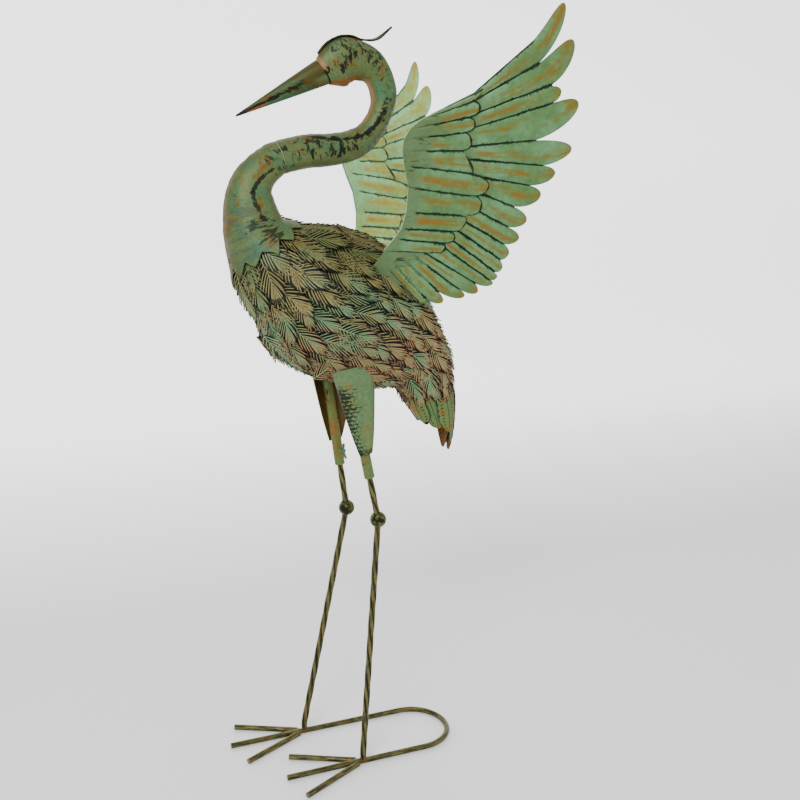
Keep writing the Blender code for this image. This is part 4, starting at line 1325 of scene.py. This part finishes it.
def coatThigh():
    coat = Coat("thighPatina", 0.5, 0.3)
    ground = weathered(coat.position, 22.0, (112, 142, 100), (124, 134, 86), (154, 120, 70), 0.42)
    colour = ground["Colour"]
    inner = coat.value("inner")
    colour = dye(colour, inner * 0.85, 112, 78, 44)
    # Rows of ragged crescents that fade from the front edge to the middle.
    row = coat.run * 150.0
    rowStep = calc("FLOOR", row)
    shift = rowStep % 2.0 * 0.5
    wear = grain(coat.position, 230.0, 4.0, 0.7)
    jog = (wear - 0.5) * 1.5
    cellX = calc("FRACT", coat.across * 3.2 + shift) - 0.5
    cellY = calc("FRACT", row) - 0.15
    far = calc("SQRT", cellX * cellX + cellY * cellY)
    ring = abs(far + jog - 0.42)
    drift = (grain(coat.position, 28.0, 3.0) - 0.5) * 1.2
    fade = band(coat.across + drift, 0.40, -0.95)
    limit = fade * fade * 0.36
    marks = band(ring - limit, 0.05, -0.08)
    marks = marks * band(coat.run, 0.128, 0.112)
    marks = marks * band(fade, 0.05, 0.30)
    marks = marks * (1.0 - inner)
    colour = dye(colour, marks * 0.92, 18, 28, 22)
    spots = useGroup(blots, {"Position": coat.position, "Scale": 70.0, "Share": 0.34})["Mask"]
    colour = dye(colour, spots * 0.5, 44, 50, 40)
    foot = band(coat.run, 0.013, 0.004) * band(wear, 0.44, 0.52)
    colour = dye(colour, foot * 0.9, 18, 22, 18)
    rim = band(abs(coat.across), 0.94, 0.985)
    colour = dye(colour, rim * 0.7, 104, 80, 44)
    return coat.finish(colour, ground["Grain"], 0.3)


def coatTube():
    coat = Coat("tubePatina", 0.5, 0.35)
    ground = weathered(coat.position, 30.0, (112, 132, 82), (128, 120, 68), (150, 108, 66), 0.42)
    spots = useGroup(blots, {"Position": coat.position, "Scale": 55.0, "Share": 0.50})["Mask"]
    colour = dye(ground["Colour"], spots * 0.85, 24, 28, 22)
    return coat.finish(colour, ground["Grain"], 0.35)


def coatScrew():
    coat = Coat("screwPatina", 0.5, 0.35)
    ground = weathered(coat.position, 90.0, (104, 150, 112), (70, 118, 94), (140, 110, 64), 0.4)
    return coat.finish(ground["Colour"], ground["Grain"], 0.35)


def coatBall():
    coat = Coat("ballPatina", 0.42, 0.5)
    ground = weathered(coat.position, 60.0, (112, 116, 66), (84, 84, 50), (132, 92, 52), 0.45)
    spots = useGroup(blots, {"Position": coat.position, "Scale": 92.0, "Share": 0.74})["Mask"]
    colour = dye(ground["Colour"], spots * 0.92, 20, 22, 18)
    # Painted shade: near black in the recess round the rod and just past its mouth.
    mouth = band(coat.run, 0.0062, 0.0052)
    colour = dye(colour, mouth, 16, 16, 12)
    return coat.finish(colour, ground["Grain"], 0.35)


def makeBall(rise, fall, knee):
    # Ball with a recess round the upper rod.
    radius = legForm["ball"] / 2
    mouth = math.asin((legForm["rod"] / 2 + 0.0006) / radius)
    floor = radius - legForm["bore"]
    normal = Vector((0, 1, 0))
    normal = (normal - rise * normal.dot(rise)).normalized()
    cross = rise.cross(normal)
    rings, paint = [], []
    stations = [(0.0, floor)] + [(mouth * 0.98, None)] + [(between(mouth, math.pi * 0.985, i / 30), None)
        for i in range(31)]
    for angle, depth in stations:
        ring, marks = [], []
        for j in range(40):
            turn = math.tau * j / 40
            if depth is not None:
                spread = legForm["rod"] / 2 + 0.0005
                offset = rise * depth
            else:
                spread = radius * math.sin(angle)
                offset = rise * radius * math.cos(angle)
            ring.append(knee + offset + (normal * math.cos(turn) + cross * math.sin(turn)) * spread)
            marks.append((angle * radius, turn / math.pi - 1, 0.5))
        rings.append(ring)
        paint.append(marks)
    return roundMesh("kneeBall", rings, paint)


def thighRow(share, side, out=0.0):
    hip, mouth, knee, foot = legPoints(side)
    rise = (hip - knee).normalized()
    low = mouth + rise * thighForm["fromMouth"]
    high = hip + rise * thighForm["sink"]
    front = Vector((-1, 0, 0))
    front = (front - rise * front.dot(rise)).normalized()
    outward = Vector((0, side, 0))
    near = legForm["rod"] / 2 + legForm["fit"] * 2 + legForm["wall"] + thighForm["sheet"] / 2
    wide = share ** 0.8
    reach = between(near + thighForm["flare"], thighForm["reach"], wide)
    deep = between(near, thighForm["depth"], wide)
    wrap = math.radians(between(thighForm["footWrap"], thighForm["topWrap"], wide))
    row = []
    for j in range(thighForm["cols"]):
        t = 2 * j / (thighForm["cols"] - 1) - 1
        angle = wrap * t
        row.append((between(low, high, share)
            + front * ((reach + out) * math.sin(angle) - thighForm["rear"] * wide)
            + outward * ((deep + out) * math.cos(angle) - deep + near + (deep - near) * wide)))
    return row


def makeThigh(side):
    front, back, paint = [], [], []
    for i in range(thighForm["rows"] + 1):
        share = i / thighForm["rows"]
        outer = thighRow(share, side, thighForm["sheet"] / 2)
        inner = thighRow(share, side, -thighForm["sheet"] / 2)
        marks = [(share * 0.15, -(2 * j / (thighForm["cols"] - 1) - 1), 0.5)
            for j in range(thighForm["cols"])]
        if side < 0:
            outer, inner, marks = outer[::-1], inner[::-1], marks[::-1]
        front.append(outer)
        back.append(inner)
        paint.append(marks)
    return joinParts("thigh", [sheetParts(front, back, paint, {})])


def makeTube(side):
    hip, mouth, knee, foot = legPoints(side)
    rise = (hip - knee).normalized()
    outerRadius = legForm["rod"] / 2 + legForm["fit"] + legForm["wall"]
    path = [mouth, hip + rise * legForm["sink"]]
    outer, paint = sweep(path, 0.004, 32,
        lambda run, angle, p: outerRadius * (1 + 0.01 * rough(p, 120)), 0.3)
    inner = sweep(path, 0.004, 32, lambda run, angle, p: outerRadius - legForm["wall"], 0.3)[0]
    return joinParts("tube", [sheetParts(outer, inner, paint, {}, closed=True)])


def threadOutline(run, angle, p):
    return screwForm["shank"] / 2 * (1 + 0.06 * math.sin(math.tau * run / 0.0012 + angle))


def makeScrew(side):
    hip, mouth, knee, foot = legPoints(side)
    rise = (hip - knee).normalized()
    turn = math.radians(screwForm["turn"])
    inward = Vector((math.sin(turn), -side * math.cos(turn), 0))
    inward = (inward - rise * inward.dot(rise)).normalized()
    outerRadius = legForm["rod"] / 2 + legForm["fit"] + legForm["wall"]
    seat = mouth + rise * screwForm["fromMouth"] + inward * (outerRadius + legForm["fit"])
    shank, paint = sweep([seat, seat + inward * screwForm["length"]], 0.0006, 20, threadOutline, 0.3)
    base = seat + inward * (screwForm["length"] - screwForm["height"] / 2)
    thin = rise.cross(inward).normalized()
    rings, marks = [], []
    # The two ears are a bar that swells to both ends.
    for k in range(41):
        t = 2 * k / 40 - 1
        bow = 0.55 * abs(t) ** 1.5
        height = screwForm["height"] * (0.28 + 0.20 * math.exp(-((abs(t) - 0.72) / 0.22) ** 2))
        height *= math.sqrt(max(0.02, 1 - abs(t) ** 8))
        middle = base + rise * t * screwForm["span"] / 2
        middle = middle + inward * (0.3 + bow * 0.9) * screwForm["height"]
        taper = math.sqrt(max(0.05, 1 - abs(t) ** 8))
        ring, row = [], []
        for j in range(14):
            angle = math.tau * j / 14
            ring.append(middle + inward * height * math.cos(angle)
                + thin * screwForm["thickness"] / 2 * math.sin(angle) * taper)
            row.append((t * 0.012, angle / math.pi - 1, 0.5))
        rings.append(ring)
        marks.append(row)
    parts = []
    for tubeRings, tubePaint in ((shank, paint), (rings, marks)):
        cols = len(tubeRings[0])
        count = len(tubeRings)
        faces = faceGrid(count, cols, closed=True)
        faces.append(tuple(range(cols)))
        faces.append(tuple(range((count - 1) * cols, count * cols))[::-1])
        parts.append(([p for r in tubeRings for p in r], faces,
            {"paint": [p for r in tubePaint for p in r]}))
    return joinParts("screw", parts)


def makeLeg(side, word):
    hip, mouth, knee, foot = legPoints(side)
    rise = (hip - knee).normalized()
    floor = legForm["ball"] / 2 - legForm["bore"]
    ankle = foot + Vector((0, 0, rodFlat * 2 + legForm["fit"]))
    bend = ankle + Vector((0, 0, legForm["rod"]))
    fall = (bend - knee).normalized()
    lower = word.lower()
    rings, paint = sweep([mouth + rise * legForm["rodInSocket"], knee + rise * (floor + legForm["fit"])],
        0.0015, 32, twistedOutline, 0.2)
    addPiece("upperLeg" + word, roundMesh("upperLeg", rings, paint), rodCoat, ["upper_leg_" + lower])
    rings, paint = sweep(roundedPath([knee + fall * (floor + legForm["fit"]), bend, ankle], 0.006),
        0.0015, 32, twistedOutline, 0.8)
    addPiece("lowerLeg" + word, roundMesh("lowerLeg", rings, paint), rodCoat, ["lower_leg_" + lower])
    addPiece("kneeBall" + word, makeBall(rise, fall, knee), ballCoat, ["knee_ball_" + lower])
    addPiece("thigh" + word, makeThigh(side), thighCoat, ["thigh_" + lower])
    addPiece("legSocket" + word, makeTube(side), tubeCoat, ["leg_socket_" + lower])
    addPiece("thumbScrew" + word, makeScrew(side), screwCoat, ["thumb_screw_" + lower])


rodCoat = coatRod("rodBronze", True)
plainRodCoat = coatRod("baseBronze", False)
ballCoat = coatBall()
thighCoat = coatThigh()
tubeCoat = coatTube()
screwCoat = coatScrew()
for side, word in ((-1, "Left"), (1, "Right")):
    makeLeg(side, word)
print("legs")


# Base: the hoop with the middle toes, and the side toes.
baseForm = {"rod": 0.008, "middleToe": 0.113, "sideToe": 0.109, "splay": 26.6, "blob": 0.0055}


def plainOutline(run, angle, p):
    flat = 1 if math.cos(angle) > -0.92 else 0.985
    return baseForm["rod"] / 2 * flat * (0.985 + 0.012 * rough(p, 140))


def blobPart(centre, radius, seed):
    # Lumpy bead of weld.
    points, faces, paint = [], [], []
    rows, cols = 14, 20
    for i in range(rows + 1):
        polar = math.pi * i / rows
        for j in range(cols):
            angle = math.tau * j / cols
            way = Vector((math.sin(polar) * math.cos(angle), math.sin(polar) * math.sin(angle),
                math.cos(polar)))
            reach = radius * (1 + 0.22 * rough(way + Vector((seed, 0, 0)), 2.2))
            points.append(centre + Vector((way.x * 1.15, way.y, way.z * 0.62)) * reach)
            paint.append((0.0, -1.0, 0.9))
    faces.extend(faceGrid(rows + 1, cols, 0, True))
    return points, faces, {"paint": paint, "weld": [1.0] * len(points), "cut": [0.0] * len(points)}


def makeHoop():
    left, right = footPlace(-1), footPlace(1)
    z = rodFlat
    path = [Vector((left.x - baseForm["middleToe"], left.y, z)), Vector((left.x, left.y, z))]
    for i in range(41):
        angle = math.pi * i / 40 - math.pi / 2
        path.append(Vector((originShift + hoopBack["reach"] + hoopBack["halfSpread"] * math.cos(angle),
            hoopBack["halfSpread"] * math.sin(angle), z)))
    path += [Vector((right.x, right.y, z)), Vector((right.x - baseForm["middleToe"], right.y, z))]
    rings, paint = sweep(path, 0.004, 24, plainOutline, 0.4)
    parts = [tubePart(rings, paint, {"weld": 0.0})]
    for number, foot in enumerate((left, right)):
        parts.append(blobPart(foot + Vector((0.001, 0, z * 1.5)), baseForm["blob"], number * 5.0))
        parts.append(blobPart(foot + Vector((-0.007, 0.001, z * 1.35)), baseForm["blob"] * 0.72, number
            + 2.5))
    return joinParts("baseHoop", parts)


def makeToe(side, swing):
    foot = footPlace(side)
    splay = math.radians(baseForm["splay"])
    heading = Vector((-math.cos(splay), swing * math.sin(splay), 0))
    lift = Vector((0, 0, rodFlat))
    start = (baseForm["rod"] / 2 + 0.001) / math.sin(splay)
    path = [foot + heading * start + lift, foot + heading * baseForm["sideToe"] + lift]
    rings, paint = sweep(path, 0.004, 24, plainOutline, 0.1 + 0.2 * side + 0.3 * swing)
    return joinParts("toe", [tubePart(rings, paint, {"weld": 0.0})])


def coatBase(material):
    tree = material.node_tree
    shader = tree.nodes["Principled BSDF"]
    colour = shader.inputs["Base Color"].links[0].from_socket
    weld = Signal(put(tree, "ShaderNodeAttribute", attribute_name="weld").outputs["Fac"])
    colour = dye(colour, weld * 0.75, 134, 80, 52)
    cut = Signal(put(tree, "ShaderNodeAttribute", attribute_name="cut").outputs["Fac"])
    colour = dye(colour, cut * 0.6, 150, 138, 92)
    feed(colour, shader.inputs["Base Color"])
    return material


baseCoat = coatBase(plainRodCoat)
addPiece("baseHoop", makeHoop(), baseCoat, ["base_hoop"])
for side, word in ((-1, "Left"), (1, "Right")):
    addPiece("toeOuter" + word, makeToe(side, side), baseCoat, ["toe_outer_" + word.lower()])
    addPiece("toeInner" + word, makeToe(side, -side), baseCoat, ["toe_inner_" + word.lower()])
print("base")


# Stage: pale floor, soft light and the camera.
stageForm = {
    "world": 0.45, "camera": (-0.4259, -1.1854, 0.7790), "target": (0.0457, 0, 0.5210), "lens": 41.145,
    "near": 3.0, "far": 3.2, "bend": 1.2, "height": 4.0, "glow": 1.5,
    "lights": [("key", (-1.7, -2.3, 2.5), 1.5, 115), ("fill", (2.3, -1.9, 1.3), 2.2, 34),
        ("top", (0.3, 0.9, 3.0), 2.0, 18)],
}


def makeStage():
    # Floor that bends up into a wall behind, with a soft glow far back.
    profile = [(-stageForm["near"], 0.0), (0.6, 0.0)]
    for i in range(13):
        angle = math.pi / 2 * i / 12
        profile.append((stageForm["far"] - stageForm["bend"] * (1 - math.sin(angle)),
            stageForm["bend"] * (1 - math.cos(angle))))
    profile.append((stageForm["far"], stageForm["height"]))
    half = 6.0
    points = [(x, y, z - 0.0006) for y, z in profile for x in (-half, half)]
    faces = [(2 * i, 2 * i + 1, 2 * i + 3, 2 * i + 2) for i in range(len(profile) - 1)]
    sweepMesh = newMesh("backdrop", points, faces,
        {"glow": [smooth(y, 0.5, 2.6) for y, z in profile for x in (0, 1)]})
    sweepMesh.shade_smooth()
    paper = bpy.data.materials.new("paper")
    paper.use_nodes = True
    tree = paper.node_tree
    shader = tree.nodes["Principled BSDF"]
    shader.inputs["Base Color"].default_value = (0.93, 0.93, 0.93, 1)
    shader.inputs["Roughness"].default_value = 0.9
    shader.inputs["Emission Color"].default_value = (1, 1, 1, 1)
    glow = Signal(put(tree, "ShaderNodeAttribute", attribute_name="glow").outputs["Fac"])
    feed(glow * stageForm["glow"], shader.inputs["Emission Strength"])
    sweepMesh.materials.append(paper)
    backdrop = bpy.data.objects.new("backdrop", sweepMesh)
    attach(backdrop)
    world = bpy.data.worlds.new("studio")
    bpy.context.scene.world = world
    world.use_nodes = True
    world.node_tree.nodes["Background"].inputs["Color"].default_value = (1, 1, 1, 1)
    world.node_tree.nodes["Background"].inputs["Strength"].default_value = stageForm["world"]
    for name, spot, size, power in stageForm["lights"]:
        light = bpy.data.lights.new(name, "AREA")
        light.size = size
        light.energy = power
        lamp = bpy.data.objects.new(name, light)
        lamp.location = spot
        lamp.rotation_euler = (Vector((0, 0, 0.5)) - lamp.location).to_track_quat("-Z", "Y").to_euler()
        attach(lamp)
    view = bpy.data.cameras.new("view")
    view.lens = stageForm["lens"]
    view.sensor_width = 36
    camera = bpy.data.objects.new("view", view)
    camera.location = stageForm["camera"]
    aim = Vector(stageForm["target"]) - camera.location
    camera.rotation_euler = aim.to_track_quat("-Z", "Y").to_euler()
    attach(camera)
    bpy.context.scene.camera = camera


makeStage()
print("stage")
